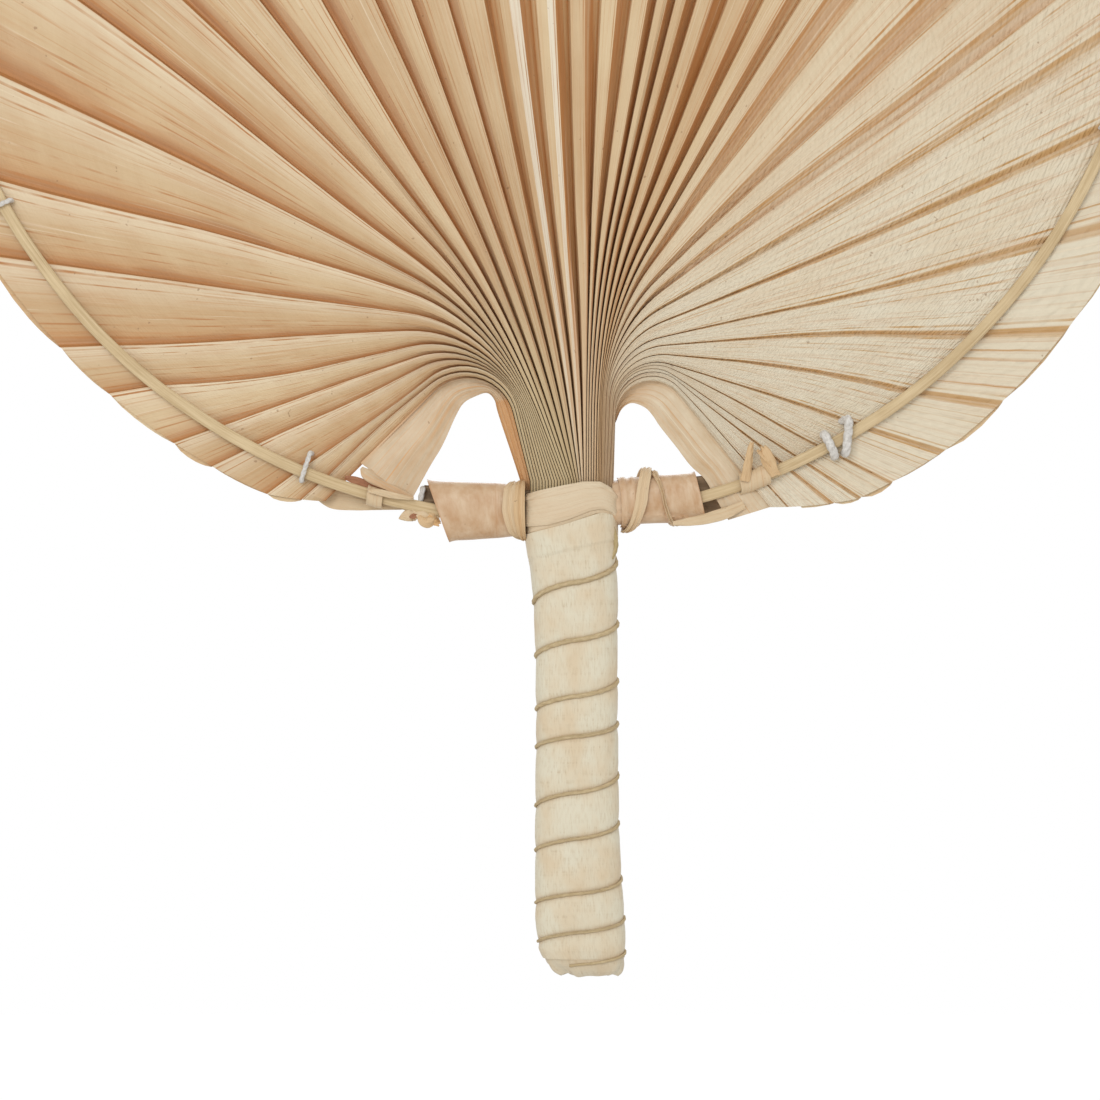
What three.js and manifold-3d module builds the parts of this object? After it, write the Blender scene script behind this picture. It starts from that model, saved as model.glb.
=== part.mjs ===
import * as THREE from 'three';
import { mergeVertices } from 'three/addons/utils/BufferGeometryUtils.js';
import Module from 'manifold-3d';

// Palm leaf hand fan: one pleated leaf, stitched to a pair of hoop strips, on a
// wrapped and corded handle. Millimetres. The front faces -Y, the handle points
// down, and the origin is the middle of the grip.

const wasm = await Module();
wasm.setup();

// Clearances.
const gap = 0.3;

// Handle.
const handleTop = 67.5;
const handleLength = 133.5;
const handleWidth = 24;
const handleDepth = 15;
const handleBackDepth = 6.6;
const wrapThickness = 1.3;
const endFoldHeight = 5.4;
const wrapSetback = 1.2;
const wrapTop = handleTop - wrapSetback;
const wrapBottom = handleTop - handleLength + endFoldHeight;
const stalkWidth = 18;
const stalkDepth = 9;

// Leaf.
const sheetThickness = 0.9;
const pleatDepth = 8;
const throatWidth = 25.1;
const throatDepth = 12;
const throatShift = -1.6;
const throatRise = 15.9;
const throatHeight = wrapTop + throatRise;
const leafBaseRise = 1.7;
const leafBaseHeight = wrapTop + leafBaseRise;
const bendRise = 51.6;
const bendReach = 42;
const rimOverhang = 16.4;
const hemInset = 5.6;
const hemThickness = 0.6;
const outerSheetThickness = 0.7;

// Hoop: a front and a back strip that pinch the leaf between them. Its lowest
// point hangs a little below the throat, and its ends reach into the crossbar.
const hoopRadius = 183.6;
const hoopDrop = 11.4;
const hoopRise = throatHeight - hoopDrop + hoopRadius;
const hoopShift = -11.4;
const stripWidth = 3.5;
const stripThickness = 1.5;
const stripClosing = 10.9;

// Crossbar and collar.
const slatHeight = 5.2;
const slatThickness = 1.4;
const slatSpacing = 1.75;
const armDepth = 12.4;
const armWall = 0.8;
const collarWall = 1;
const collarWidth = throatWidth + 2 * (collarWall + 2 * gap);
const collarDepth = 17;
const collarLowerRise = 5.7;
const collarLowerTop = wrapTop + collarLowerRise;
const collarRise = 14.3;
const collarTop = wrapTop + collarRise;

// Cord and thread.
const cordRadius = 0.7;
const stitchRadius = 0.65;
const yarnRadius = 1.3;
const tieWall = 0.6;

const degree = Math.PI / 180;
const group = new THREE.Group();

// A closed body from points and triangles, turned so that its faces point out.
function closedBody(points, triangles) {
  let volume = 0;
  for (const [a, b, c] of triangles) {
    volume += points[a].dot(new THREE.Vector3().crossVectors(points[b], points[c]));
  }
  const facing = volume < 0 ? triangles.map(([a, b, c]) => [a, c, b]) : triangles;
  const geometry = new THREE.BufferGeometry();
  const flat = points.flatMap((point) => [point.x, point.y, point.z]);
  geometry.setAttribute('position', new THREE.Float32BufferAttribute(flat, 3));
  geometry.setIndex(facing.flat());
  return geometry;
}

// Two triangles for each square between neighbouring loops of points.
function bridgeLoops(triangles, first, second, count) {
  for (let i = 0; i < count; i += 1) {
    const next = (i + 1) % count;
    triangles.push([first + i, first + next, second + next], [first + i, second + next, second + i]);
  }
}

// A solid through a row of loops, closed by a flat cap at either end.
function loft(loops) {
  const count = loops[0].length;
  const triangles = [];
  for (let ring = 0; ring + 1 < loops.length; ring += 1) {
    bridgeLoops(triangles, ring * count, (ring + 1) * count, count);
  }
  const last = (loops.length - 1) * count;
  for (let i = 1; i + 1 < count; i += 1) {
    triangles.push([0, i + 1, i], [last, last + i, last + i + 1]);
  }
  return closedBody(loops.flat(), triangles);
}

// A solid through a ring of loops, joined last to first: a sleeve or a link.
function loftRing(loops) {
  const count = loops[0].length;
  const triangles = [];
  for (let ring = 0; ring < loops.length; ring += 1) {
    bridgeLoops(triangles, ring * count, ((ring + 1) % loops.length) * count, count);
  }
  return closedBody(loops.flat(), triangles);
}

function toManifold(geometry) {
  const bare = geometry.clone();
  bare.deleteAttribute('normal');
  bare.deleteAttribute('uv');
  const merged = mergeVertices(bare);
  return new wasm.Manifold(new wasm.Mesh({
    numProp: 3,
    vertProperties: new Float32Array(merged.attributes.position.array),
    triVerts: new Uint32Array(merged.index.array),
  }));
}

function toGeometry(solid) {
  const mesh = solid.getMesh();
  const geometry = new THREE.BufferGeometry();
  geometry.setAttribute('position', new THREE.BufferAttribute(mesh.vertProperties, 3));
  geometry.setIndex(new THREE.BufferAttribute(mesh.triVerts, 1));
  return geometry;
}

function cut(geometry, cutters) {
  let solid = toManifold(geometry);
  for (const cutter of cutters) solid = solid.subtract(toManifold(cutter));
  return toGeometry(solid);
}

function add(name, geometry, color, roughness = 0.7) {
  const material = new THREE.MeshStandardMaterial({ color, roughness, metalness: 0 });
  const mesh = new THREE.Mesh(geometry, material);
  mesh.name = name;
  group.add(mesh);
}

// Reads a column of a table whose first column rises steadily.
function readTable(table, key, column) {
  let row = 1;
  while (row < table.length - 1 && key > table[row][0]) row += 1;
  const [low, high] = [table[row - 1], table[row]];
  const share = THREE.MathUtils.clamp((key - low[0]) / (high[0] - low[0]), 0, 1);
  return THREE.MathUtils.lerp(low[column], high[column], share);
}

// Angle on the hoop, from straight down towards +X, below a place by the throat.
function hoopAngle(across) {
  return Math.asin((throatX(across) - hoopShift) / hoopRadius);
}

// Place on the hoop's plane, from such an angle and a radius.
function hoopPoint(angle, radius, y) {
  const [x, z] = [hoopShift + radius * Math.sin(angle), hoopRise - radius * Math.cos(angle)];
  return new THREE.Vector3(x, y, z);
}

// Leaf. Each fold line rises straight from the throat, bends over in an arc and
// runs straight to the rim. Columns: which ridge it is, counted from the left, and
// its direction in degrees from straight up; then where it starts and where it
// bends, as shares of the throat's width, how high it bends, as a share of the
// bend's rise, and how far the arc reaches from there, as a share of the bend's
// reach; then how far it passes the hoop, as a share of the overhang.
const foldShares = [
  [0, -135, -0.5, -0.941, 0.855, 0.586, 0.36],
  [2, -126, -0.415, -0.881, 0.89, 0.607, 0.64],
  [6, -91, -0.248, -0.786, 0.878, 0.69, 0.7],
  [11, -44, -0.04, -0.893, 0.924, 0.79, 0.9],
  [14, -24.5, 0.02, -0.75, 0.924, 0.79, 1],
  [18, -7.5, 0.12, -0.128, 0.924, 0.79, 1],
  [20, 0.9, 0.17, 0.17, 0.924, 0.79, 1],
  [22, 10, 0.21, 0.218, 0.924, 0.79, 1],
  [25, 18.6, 0.26, 0.338, 0.924, 0.7, 1.02],
  [28, 35.2, 0.31, 0.385, 0.89, 0.57, 1.05],
  [31, 58.8, 0.36, 0.445, 0.849, 0.46, 1.1],
  [33, 76, 0.39, 0.469, 0.762, 0.36, 1.15],
  [36, 106, 0.43, 0.53, 0.762, 0.386, 1.22],
  [38, 123.8, 0.46, 0.565, 0.82, 0.457, 1.1],
  [41, 141, 0.5, 0.553, 0.936, 0.686, 0.57],
];
// Columns: how much of the throat's depth the packed leaf fills, then the depth
// of its folds as a share of the deepest, and how far the folds lean over.
const baseShares = [[1, 0.1, 0], [1, 0.13, 0]];
const bendShares = [
  [0.97, 0.2, 0], [0.85, 0.36, 0.05], [0.66, 0.58, 0.26],
  [0.42, 0.8, 0.47], [0.22, 0.93, 0.68], [0.1, 1, 0.89],
];
const spreadShares = [[0, 0.95, 1], [0, 0.86, 1], [0, 0.72, 1], [0, 0.5, 1]];
const hemShares = [0, 0.42, 1];
const rimShares = [0, 0.3, 1];
// How each fold lies once it leans over, from its ridge: where its valley and the
// shoulder after it lie, as shares of the way to the next ridge, and how deep the
// shoulder still is. Panels rise slowly on the left and lie flat on the right.
const uprightShares = [0.5, 0.75, 0.5];
const leaningShares = [
  [0, 0.2, 0.5, 0.42], [16, 0.22, 0.5, 0.4], [19, 0.45, 0.62, 0.12],
  [29, 0.4, 0.56, 0.06], [32, 0.17, 0.31, 0.04], [41, 0.17, 0.31, 0.04],
];
const throatSideShare = 0.4;

const linesPerFold = 3;
const lineCount = linesPerFold * foldShares.at(-1)[0] + 1;

function throatX(share) {
  return throatShift + share * throatWidth;
}

// A flat place by the throat: shares of its width and of the bend's rise.
function throatPlace(across, up) {
  return new THREE.Vector2(throatX(across), throatHeight + up * bendRise);
}

function reachCircle(start, direction, radius) {
  const offset = start.clone().sub(new THREE.Vector2(hoopShift, hoopRise));
  const along = offset.dot(direction);
  return -along + Math.sqrt(along * along - offset.lengthSq() + radius * radius);
}

// An arc of a circle that turns from one direction to another at a corner.
function cornerArc(corner, arriving, leaving, leg, share) {
  const weight = Math.sqrt((1 + arriving.dot(leaving)) / 2);
  const weights = [(1 - share) ** 2, 2 * weight * share * (1 - share), share ** 2];
  const total = weights[0] + weights[1] + weights[2];
  return corner.clone()
    .addScaledVector(arriving, (-leg * weights[0]) / total)
    .addScaledVector(leaving, (leg * weights[2]) / total);
}

// A fold line from its ridge number, which for a valley lies between two ridges:
// flat places in X and Z, and the shares at each.
function foldPlaces(ridge) {
  const [heading, startShare, acrossShare, upShare, legShare, passShare] = [1, 2, 3, 4, 5, 6].map(
    (column) => readTable(foldShares, ridge, column),
  );
  const start = throatPlace(startShare, 0);
  const bend = throatPlace(acrossShare, upShare);
  const direction = new THREE.Vector2(Math.sin(heading * degree), Math.cos(heading * degree));
  const stem = bend.clone().sub(start).normalize();
  const leg = legShare * bendReach;
  const toHoop = reachCircle(bend, direction, hoopRadius);
  const toRim = reachCircle(bend, direction, hoopRadius + passShare * rimOverhang);
  const places = [new THREE.Vector2(start.x, leafBaseHeight), start];
  bendShares.forEach((_, step) => {
    places.push(cornerArc(bend, stem, direction, leg, step / (bendShares.length - 1)));
  });
  spreadShares.forEach((_, step) => {
    const distance = THREE.MathUtils.lerp(leg, toHoop, (step + 1) / spreadShares.length);
    places.push(bend.clone().addScaledVector(direction, distance));
  });
  const toHem = reachCircle(bend, direction, hoopRadius + hemInset);
  places.push(bend.clone().addScaledVector(direction, toHem));
  places.push(bend.clone().addScaledVector(direction, toRim));
  return places;
}

const rowShares = [...baseShares, ...bendShares, ...spreadShares, hemShares, rimShares];

// One line of the leaf: a ridge, the valley after it or the shoulder after that,
// with its middle and half thickness at each place.
function foldLine(index) {
  const ridge = Math.floor(index / linesPerFold);
  const kind = index % linesPerFold;
  const side = Math.abs(2 * readTable(foldShares, index / linesPerFold, 2));
  const roundness = THREE.MathUtils.lerp(throatSideShare, 1, 1 - side ** 3);
  const [valley, shoulder, rest] = [1, 2, 3].map((column) => readTable(leaningShares, ridge, column));
  const [upValley, upShoulder, upRest] = uprightShares;
  return rowShares.map(([fill, fold, lean], row) => {
    const lie = (upright, leaning) => THREE.MathUtils.lerp(upright, leaning, lean);
    const past = [0, lie(upValley, valley), lie(upShoulder, shoulder)];
    const sunk = [0, 1, lie(upRest, rest)];
    const place = foldPlaces(ridge + past[kind])[row];
    const half = (fill * throatDepth * roundness + sheetThickness * (1 - fill)) / 2;
    return { place, middle: (sunk[kind] - 0.5) * fold * pleatDepth, half };
  });
}

const foldLines = Array.from({ length: lineCount }, (_, index) => foldLine(index));

// A closed sheet over a grid of columns, each a row of front and back points.
function sheetBody(front, back) {
  const rows = front[0].length;
  const points = [...front.flat(), ...back.flat()];
  const behind = front.length * rows;
  const triangles = [];
  for (let column = 0; column + 1 < front.length; column += 1) {
    for (let row = 0; row + 1 < rows; row += 1) {
      const a = column * rows + row;
      const b = a + rows;
      triangles.push([a, b, b + 1], [a, b + 1, a + 1]);
      const [c, d] = [behind + a, behind + b];
      triangles.push([c, d + 1, d], [c, c + 1, d + 1]);
    }
  }
  const edge = [];
  const lastColumn = (front.length - 1) * rows;
  for (let column = 0; column < front.length; column += 1) edge.push(column * rows);
  for (let row = 1; row < rows; row += 1) edge.push(lastColumn + row);
  for (let column = front.length - 2; column >= 0; column -= 1) edge.push(column * rows + rows - 1);
  for (let row = rows - 2; row > 0; row -= 1) edge.push(row);
  edge.forEach((a, i) => {
    const b = edge[(i + 1) % edge.length];
    triangles.push([a, behind + a, behind + b], [a, behind + b, b]);
  });
  return closedBody(points, triangles);
}

function leafPoint(station, offset) {
  return new THREE.Vector3(station.place.x, station.middle + offset, station.place.y);
}

const leafGeometry = sheetBody(
  foldLines.map((line) => line.map((station) => leafPoint(station, -station.half))),
  foldLines.map((line) => line.map((station) => leafPoint(station, station.half))),
);

// Hoop strips. They part round the leaf's folds and close on the crossbar at
// their ends, under the crossbar's wraps.
const leftEndShare = -1.219;
const rightEndShare = 1.155;
const hoopStart = hoopAngle(leftEndShare);
const hoopEnd = hoopAngle(rightEndShare);
const hoopSteps = 64;
const closingAngle = stripClosing / hoopRadius;
const stripFace = (spreadShares.at(-1)[1] * pleatDepth + sheetThickness) / 2 + 2 * gap;
const closedFace = slatSpacing / 2 + slatThickness / 2 + gap;
const stripOuterFace = stripFace + stripThickness;

function hoopStrip(side) {
  const sweep = 2 * Math.PI - (hoopEnd - hoopStart);
  const loops = [];
  for (let step = 0; step <= hoopSteps; step += 1) {
    const travelled = sweep * (step / hoopSteps);
    const fromEnd = Math.min(travelled, sweep - travelled);
    const face = THREE.MathUtils.lerp(closedFace, stripFace, Math.min(1, fromEnd / closingAngle));
    const angle = hoopStart - travelled;
    const [near, far] = [side * face, side * (face + stripThickness)];
    const [inner, outer] = [hoopRadius - stripWidth / 2, hoopRadius + stripWidth / 2];
    loops.push([
      hoopPoint(angle, inner, near), hoopPoint(angle, outer, near),
      hoopPoint(angle, outer, far), hoopPoint(angle, inner, far),
    ]);
  }
  return loft(loops);
}

// Loops round both hoop strips: thread stitches and leaf ties. Each passes
// through the leaf on either side of the strips, in slots of its own.
function loopSection(loop) {
  if (loop.radius) {
    const sides = 6;
    return Array.from({ length: sides }, (_, i) => {
      const turn = (2 * Math.PI * i) / sides;
      return [loop.radius * Math.cos(turn), loop.radius * Math.sin(turn)];
    });
  }
  const half = tieWall / 2;
  const long = loop.halfLength;
  return [[-half, -long], [half, -long], [half, long], [-half, long]];
}

function loopThickness(loop) {
  return loop.radius ?? tieWall / 2;
}

function hoopLoop(loop) {
  const { angle } = loop;
  const thickness = loopThickness(loop);
  const depth = stripOuterFace + gap + thickness;
  const corner = thickness + gap / 2;
  const centre = [(loop.outer - loop.inner) / 2, 0];
  const reach = (loop.outer + loop.inner) / 2;
  const path = [];
  [[1, 1], [-1, 1], [-1, -1], [1, -1]].forEach(([alongSign, depthSign], quarter) => {
    [0, 90].forEach((turn) => {
      const direction = (quarter * 90 + turn) * degree;
      path.push([
        centre[0] + alongSign * (reach - corner) + corner * Math.cos(direction),
        centre[1] + depthSign * (depth - corner) + corner * Math.sin(direction),
        direction,
      ]);
    });
  });
  const tangent = new THREE.Vector3(Math.cos(angle), 0, Math.sin(angle));
  const section = loopSection(loop);
  return loftRing(path.map(([along, y, direction]) => section.map(([out, side]) => {
    const radial = hoopRadius + along + out * Math.cos(direction);
    return hoopPoint(angle, radial, y + out * Math.sin(direction)).addScaledVector(tangent, side);
  })));
}

function hoopLoopCutters(loop) {
  const thickness = loopThickness(loop);
  const width = 2 * ((loop.radius ?? loop.halfLength) + gap);
  return [-loop.inner, loop.outer].map((along) => {
    const box = new THREE.BoxGeometry(width, 2 * stripOuterFace, 2 * (thickness + gap));
    box.rotateY(-loop.angle);
    const place = hoopPoint(loop.angle, hoopRadius + along, 0);
    return box.translate(place.x, place.y, place.z);
  });
}

const stitchInner = 6;
const stitchOuter = stripWidth / 2 + gap + stitchRadius;
const yarnOuter = stripWidth / 2 + gap + yarnRadius;
const tieReach = stripWidth / 2 + gap + tieWall / 2;
const hiddenStitches = 7;
const leftTieHalfLength = 2.4;
const rightTieHalfLength = 4.4;
const leftStitchShare = -3.179;
const leftTieShare = -2.345;
const hoopScrapShare = -2.036;
const leftEndStitchShare = -1.824;
const rightTieShare = 2.183;
const lowerYarnShare = 3.077;
const upperYarnShare = 3.256;
const thread = { outer: stitchOuter, radius: stitchRadius };
const yarn = { outer: yarnOuter, radius: yarnRadius };
const tie = { inner: tieReach, outer: tieReach };
const hoopLoops = [
  { name: 'left_thread_stitch', angle: hoopAngle(leftStitchShare), inner: stitchInner, ...thread },
  { name: 'left_end_stitch', angle: hoopAngle(leftEndStitchShare), inner: stitchOuter, ...thread },
  { name: 'right_yarn_stitch_lower', angle: hoopAngle(lowerYarnShare), inner: yarnOuter, ...yarn },
  { name: 'right_yarn_stitch_upper', angle: hoopAngle(upperYarnShare), inner: stitchInner, ...yarn },
  { name: 'left_leaf_tie', angle: hoopAngle(leftTieShare), halfLength: leftTieHalfLength, ...tie },
  { name: 'right_leaf_tie', angle: hoopAngle(rightTieShare), halfLength: rightTieHalfLength, ...tie },
];
const hiddenStart = hoopAngle(upperYarnShare);
const hiddenSweep = 2 * Math.PI + hoopAngle(leftStitchShare) - hiddenStart;
for (let stitch = 1; stitch <= hiddenStitches; stitch += 1) {
  const angle = hiddenStart + (stitch * hiddenSweep) / (hiddenStitches + 1);
  hoopLoops.push({ name: `rim_thread_stitch_${stitch}`, angle, inner: stitchInner, ...thread });
}
const slots = hoopLoops.flatMap(hoopLoopCutters);

// Crossbar: two split bamboo slats that cross in the throat, one in front of the
// other, through a mortise in the packed leaf. Ends as shares by the throat.
const slatEndShares = {
  front_crossbar_slat: { side: -1, left: [-1.769, -0.157], right: [1.677, -0.016] },
  back_crossbar_slat: { side: 1, left: [-1.769, -0.074], right: [1.749, -0.154] },
};

function slatBox(slat, clearance) {
  const [from, to] = [throatPlace(...slat.left), throatPlace(...slat.right)];
  const along = to.clone().sub(from);
  const box = new THREE.BoxGeometry(
    along.length(), slatThickness + 2 * clearance, slatHeight + 2 * clearance,
  );
  box.rotateY(-along.angle());
  const middle = from.add(to).multiplyScalar(0.5);
  return box.translate(middle.x, slat.side * slatSpacing / 2, middle.y);
}

const mortises = Object.values(slatEndShares).map((slat) => slatBox(slat, gap));
const leafColor = 0xe0cba6;
add('leaf_blade', cut(leafGeometry, [...mortises, ...slots]), leafColor);
for (const [name, slat] of Object.entries(slatEndShares)) add(name, slatBox(slat, 0), 0x84705c, 0.8);
add('front_hoop_strip', hoopStrip(-1), 0xcbae7c);
add('back_hoop_strip', hoopStrip(1), 0xcbae7c);

// Hem: the leaf's trimmed tips, folded back over the rim in four runs.
const hemRuns = [
  ['hem_lower_left', 1, 9], ['hem_upper_left', 9, 20],
  ['hem_upper_right', 20, 31], ['hem_lower_right', 31, 40],
];
function hemSheet(first, last) {
  const run = foldLines.slice(linesPerFold * first, linesPerFold * last + 1);
  const lines = run.map((line) => line.slice(-2));
  const columns = lines.map((stations, index) => {
    const isEnd = index === 0 || index === lines.length - 1;
    const next = lines[index === 0 ? 1 : index - 1];
    return stations.map((station, row) => {
      const share = isEnd ? gap / station.place.distanceTo(next[row].place) : 0;
      return {
        place: station.place.clone().lerp(next[row].place, share),
        middle: THREE.MathUtils.lerp(station.middle, next[row].middle, share),
      };
    });
  });
  const front = sheetThickness / 2 + gap;
  return sheetBody(
    columns.map((column) => column.map((station) => leafPoint(station, front))),
    columns.map((column) => column.map((station) => leafPoint(station, front + hemThickness))),
  );
}
for (const [name, first, last] of hemRuns) add(name, cut(hemSheet(first, last), slots), 0xd8bf95);

// Outermost leaf segments: they split from the blade, arch over the shoulders and
// run down to the hoop. Each row stands beside one station of the blade's edge.
// Columns: the free edge across, as a share of the throat's width, and up, as a
// share of the bend's rise, then how far the segment lies towards the back.
const leftEdgeShares = [
  [-0.615, 0, 0.5], [-0.87, 0.378, 0.5], [-0.923, 0.471, 0.4],
  [-1.013, 0.512, 0.15], [-1.156, 0.491, -0.05],
  [-1.288, 0.453, -0.25], [-1.383, 0.378, -0.4], [-1.539, 0.209, -0.7], [-1.694, 0.081, -0.95],
  [-1.909, -0.11, -1],
];
const rightEdgeShares = [
  [0.595, 0.433, 0.2], [0.72, 0.4535, 0], [0.8755, 0.427, -0.15],
  [0.971, 0.378, -0.3], [1.055, 0.316, -0.45],
  [1.246, 0.198, -0.75], [1.413, 0.09, -0.95], [1.581, 0.012, -1],
  [1.7, -0.087, -1], [1.796, -0.169, -1],
  [1.867, -0.227, -1],
];
const leftFirstStation = 1;
const rightFirstStation = 3;
const segmentSetback = (stripFace + closedFace - gap) / 2;

// A flat path moved sideways by a distance, each leg staying parallel.
function offsetPath(path, distance) {
  return path.map((place, i) => {
    const legs = [[i - 1, i], [i, i + 1]].filter(([from, to]) => from >= 0 && to < path.length);
    const normals = legs.map(([from, to]) => {
      const leg = path[to].clone().sub(path[from]).normalize();
      return new THREE.Vector2(leg.y, -leg.x);
    });
    const sum = normals.reduce((total, normal) => total.add(normal), new THREE.Vector2());
    return place.clone().addScaledVector(sum, (distance * normals.length) / sum.lengthSq());
  });
}

function outerSegment(line, firstStation, edgeShares, side) {
  const half = outerSheetThickness / 2;
  const beside = line.slice(firstStation - 1, firstStation + edgeShares.length + 1);
  const stations = beside.map(({ place }) => place);
  const folds = offsetPath(stations, side * 2 * gap).slice(1);
  const columns = edgeShares.map(([across, up, back], index) => {
    const fold = folds[index];
    const free = throatPlace(across, up);
    const places = [fold, fold.clone().lerp(free, 0.5), free];
    return places.map((place) => ({ place, middle: back * segmentSetback }));
  });
  return sheetBody(
    columns.map((column) => column.map((station) => leafPoint(station, -half))),
    columns.map((column) => column.map((station) => leafPoint(station, half))),
  );
}
add('left_outer_segment', cut(
  outerSegment(foldLines[0], leftFirstStation, leftEdgeShares, -1), slots,
), 0xd9c19c);
add('right_outer_segment', cut(
  outerSegment(foldLines.at(-1), rightFirstStation, rightEdgeShares, 1), slots,
), 0xe2cfae);

for (const loop of hoopLoops) {
  add(loop.name, hoopLoop(loop), loop.radius ? 0xe9e6df : 0xd6b98a, 0.8);
}

// Handle. Columns: height as a share of the handle's length below its top, how
// far its middle lies towards +X and its width, as shares of the grip's width,
// and its depth as a share of the grip's depth.
const handleShares = [
  [0, -0.078, 1.13, 1.06], [0.058, -0.056, 1.067, 1.03],
  [0.157, -0.016, 1.033, 1], [0.283, -0.005, 1.004, 1],
  [0.436, 0, 1, 1], [0.656, 0, 1.025, 1], [0.784, 0.019, 1.063, 1], [0.872, 0.038, 1.1, 0.98],
  [0.94, 0.062, 1.075, 0.92], [0.975, 0.108, 0.967, 0.76], [1, 0.15, 0.825, 0.5],
];
const handleSides = 24;
const handlePower = 2.7;

// A rounded outline at a height, as X and Y, swelled by an offset.
function roundedPoint(turn, halfWidth, halfDepth, power) {
  const [c, s] = [Math.cos(turn), Math.sin(turn)];
  return [
    Math.sign(c) * halfWidth * Math.abs(c) ** (2 / power),
    Math.sign(s) * halfDepth * Math.abs(s) ** (2 / power),
  ];
}

function handlePoint(height, turn, offset) {
  const key = (handleTop - height) / handleLength;
  const middle = handleWidth * readTable(handleShares, key, 1);
  const halfWidth = (handleWidth * readTable(handleShares, key, 2)) / 2 + offset;
  const halfDepth = (handleDepth * readTable(handleShares, key, 3)) / 2 + offset;
  const [x, y] = roundedPoint(turn, halfWidth, halfDepth, handlePower);
  return new THREE.Vector3(middle + x, Math.min(y, handleBackDepth + offset), height);
}

function handleRing(height, offset) {
  return Array.from({ length: handleSides }, (_, i) => (
    handlePoint(height, (2 * Math.PI * (i + 0.5)) / handleSides, offset)
  ));
}

const wrapHeights = [wrapTop];
for (const [share] of handleShares) {
  const height = handleTop - share * handleLength;
  if (height < wrapTop && height > wrapBottom) wrapHeights.push(height);
}
wrapHeights.push(wrapBottom);
const wrapOuter = wrapHeights.map((height) => handleRing(height, 0));
const wrapInner = wrapHeights.toReversed().map((height) => handleRing(height, -wrapThickness));
add('handle_wrap', loftRing([...wrapOuter, ...wrapInner]), 0xe6d6b4);

const foldTop = wrapBottom - gap;
const foldBottom = handleTop - handleLength;
const foldRings = [foldTop, handleTop - handleShares.at(-2)[0] * handleLength, foldBottom].map(
  (height) => handleRing(height, 0),
);
add('handle_end_fold', loft(foldRings), 0xdfcba3);

// The leaf's own stalk is the core of the handle.
const stalkTop = leafBaseHeight - gap;
const stalkBottom = foldTop + gap;
const stalkTaper = 0.86;
const stalkRings = [[stalkTop, 1], [0, 1], [stalkBottom, stalkTaper]].map(([height, share]) => (
  Array.from({ length: handleSides }, (_, i) => {
    const turn = (2 * Math.PI * i) / handleSides;
    const [x, y] = roundedPoint(turn, (share * stalkWidth) / 2, (share * stalkDepth) / 2, handlePower);
    const lean = THREE.MathUtils.lerp(0, throatShift, Math.max(0, height / stalkTop));
    return new THREE.Vector3(x + lean, y, height);
  })
));
add('leaf_stalk', loft(stalkRings), 0xa88f62, 0.8);

// Handle cord: one unbroken winding down the grip. Each turn crosses the front
// from the right edge to a lower place on the left edge. Shares of the handle's
// length below its top, at the right edge and at the left edge.
const turnRightShares = [0.073, 0.21, 0.339, 0.435, 0.551, 0.658, 0.783, 0.871, 0.948];
const turnLeftShares = [0.163, 0.282, 0.402, 0.487, 0.619, 0.719, 0.838, 0.925];
const cordStartShare = 0.012;
const cordEndShare = 0.974;
const stepsPerTurn = 24;
const cordSides = 6;

const cordStartTurn = -0.25;
const cordEndTurn = turnRightShares.length - 1 + 0.3;
const turnKeys = [[cordStartTurn, cordStartShare]];
turnRightShares.forEach((share, turn) => {
  turnKeys.push([turn, share]);
  if (turn < turnLeftShares.length) turnKeys.push([turn + 0.5, turnLeftShares[turn]]);
});
turnKeys.push([cordEndTurn, cordEndShare]);

const cordOffset = cordRadius + gap;
const cordPoints = [];
for (let step = cordStartTurn * stepsPerTurn; step <= cordEndTurn * stepsPerTurn; step += 1) {
  const turns = step / stepsPerTurn;
  const height = handleTop - handleLength * readTable(turnKeys, turns, 1);
  cordPoints.push(handlePoint(height, -2 * Math.PI * turns, cordOffset));
}
function cordTip(end, before) {
  return end.clone().add(end.clone().sub(before).setLength(2 * cordRadius));
}
const cordTips = [cordTip(cordPoints[0], cordPoints[1]), cordTip(cordPoints.at(-1), cordPoints.at(-2))];
const cordPath = new THREE.CatmullRomCurve3(
  [cordTips[0], ...cordPoints, cordTips[1]], false, 'centripetal',
);

// Least gap of the winding to itself, between points at least half a turn apart.
let leastGap = Infinity;
for (let i = 0; i < cordPoints.length; i += 1) {
  for (let j = i + stepsPerTurn / 2; j < cordPoints.length; j += 1) {
    leastGap = Math.min(leastGap, cordPoints[i].distanceTo(cordPoints[j]) - 2 * cordRadius);
  }
}
console.log(`handle cord: least gap to itself ${leastGap.toFixed(2)} mm`);

const cordSection = new THREE.Shape(Array.from({ length: cordSides }, (_, i) => {
  const turn = (2 * Math.PI * i) / cordSides;
  return new THREE.Vector2(cordRadius * Math.cos(turn), cordRadius * Math.sin(turn));
}));
add('handle_cord', new THREE.ExtrudeGeometry(cordSection, {
  steps: cordPoints.length + 1, extrudePath: cordPath, bevelEnabled: false,
}), 0xb8a06e, 0.8);

// Collar: a full turn of leaf strip under the crossbar, and a front and a back
// pass beside it. Each leans up towards +X.
const collarPower = 3.4;
const collarSides = 32;
const collarLean = 0.035;
const collarFootShare = 0.97;
const collarOpening = 17.5 * degree;

function collarRing(height, offset, from, to, steps) {
  return Array.from({ length: steps + 1 }, (_, i) => {
    const turn = THREE.MathUtils.lerp(from, to, i / steps);
    const [x, y] = roundedPoint(turn, collarWidth / 2 + offset, collarDepth / 2 + offset, collarPower);
    return new THREE.Vector3(throatShift + x, y, height + collarLean * x);
  });
}

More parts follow.
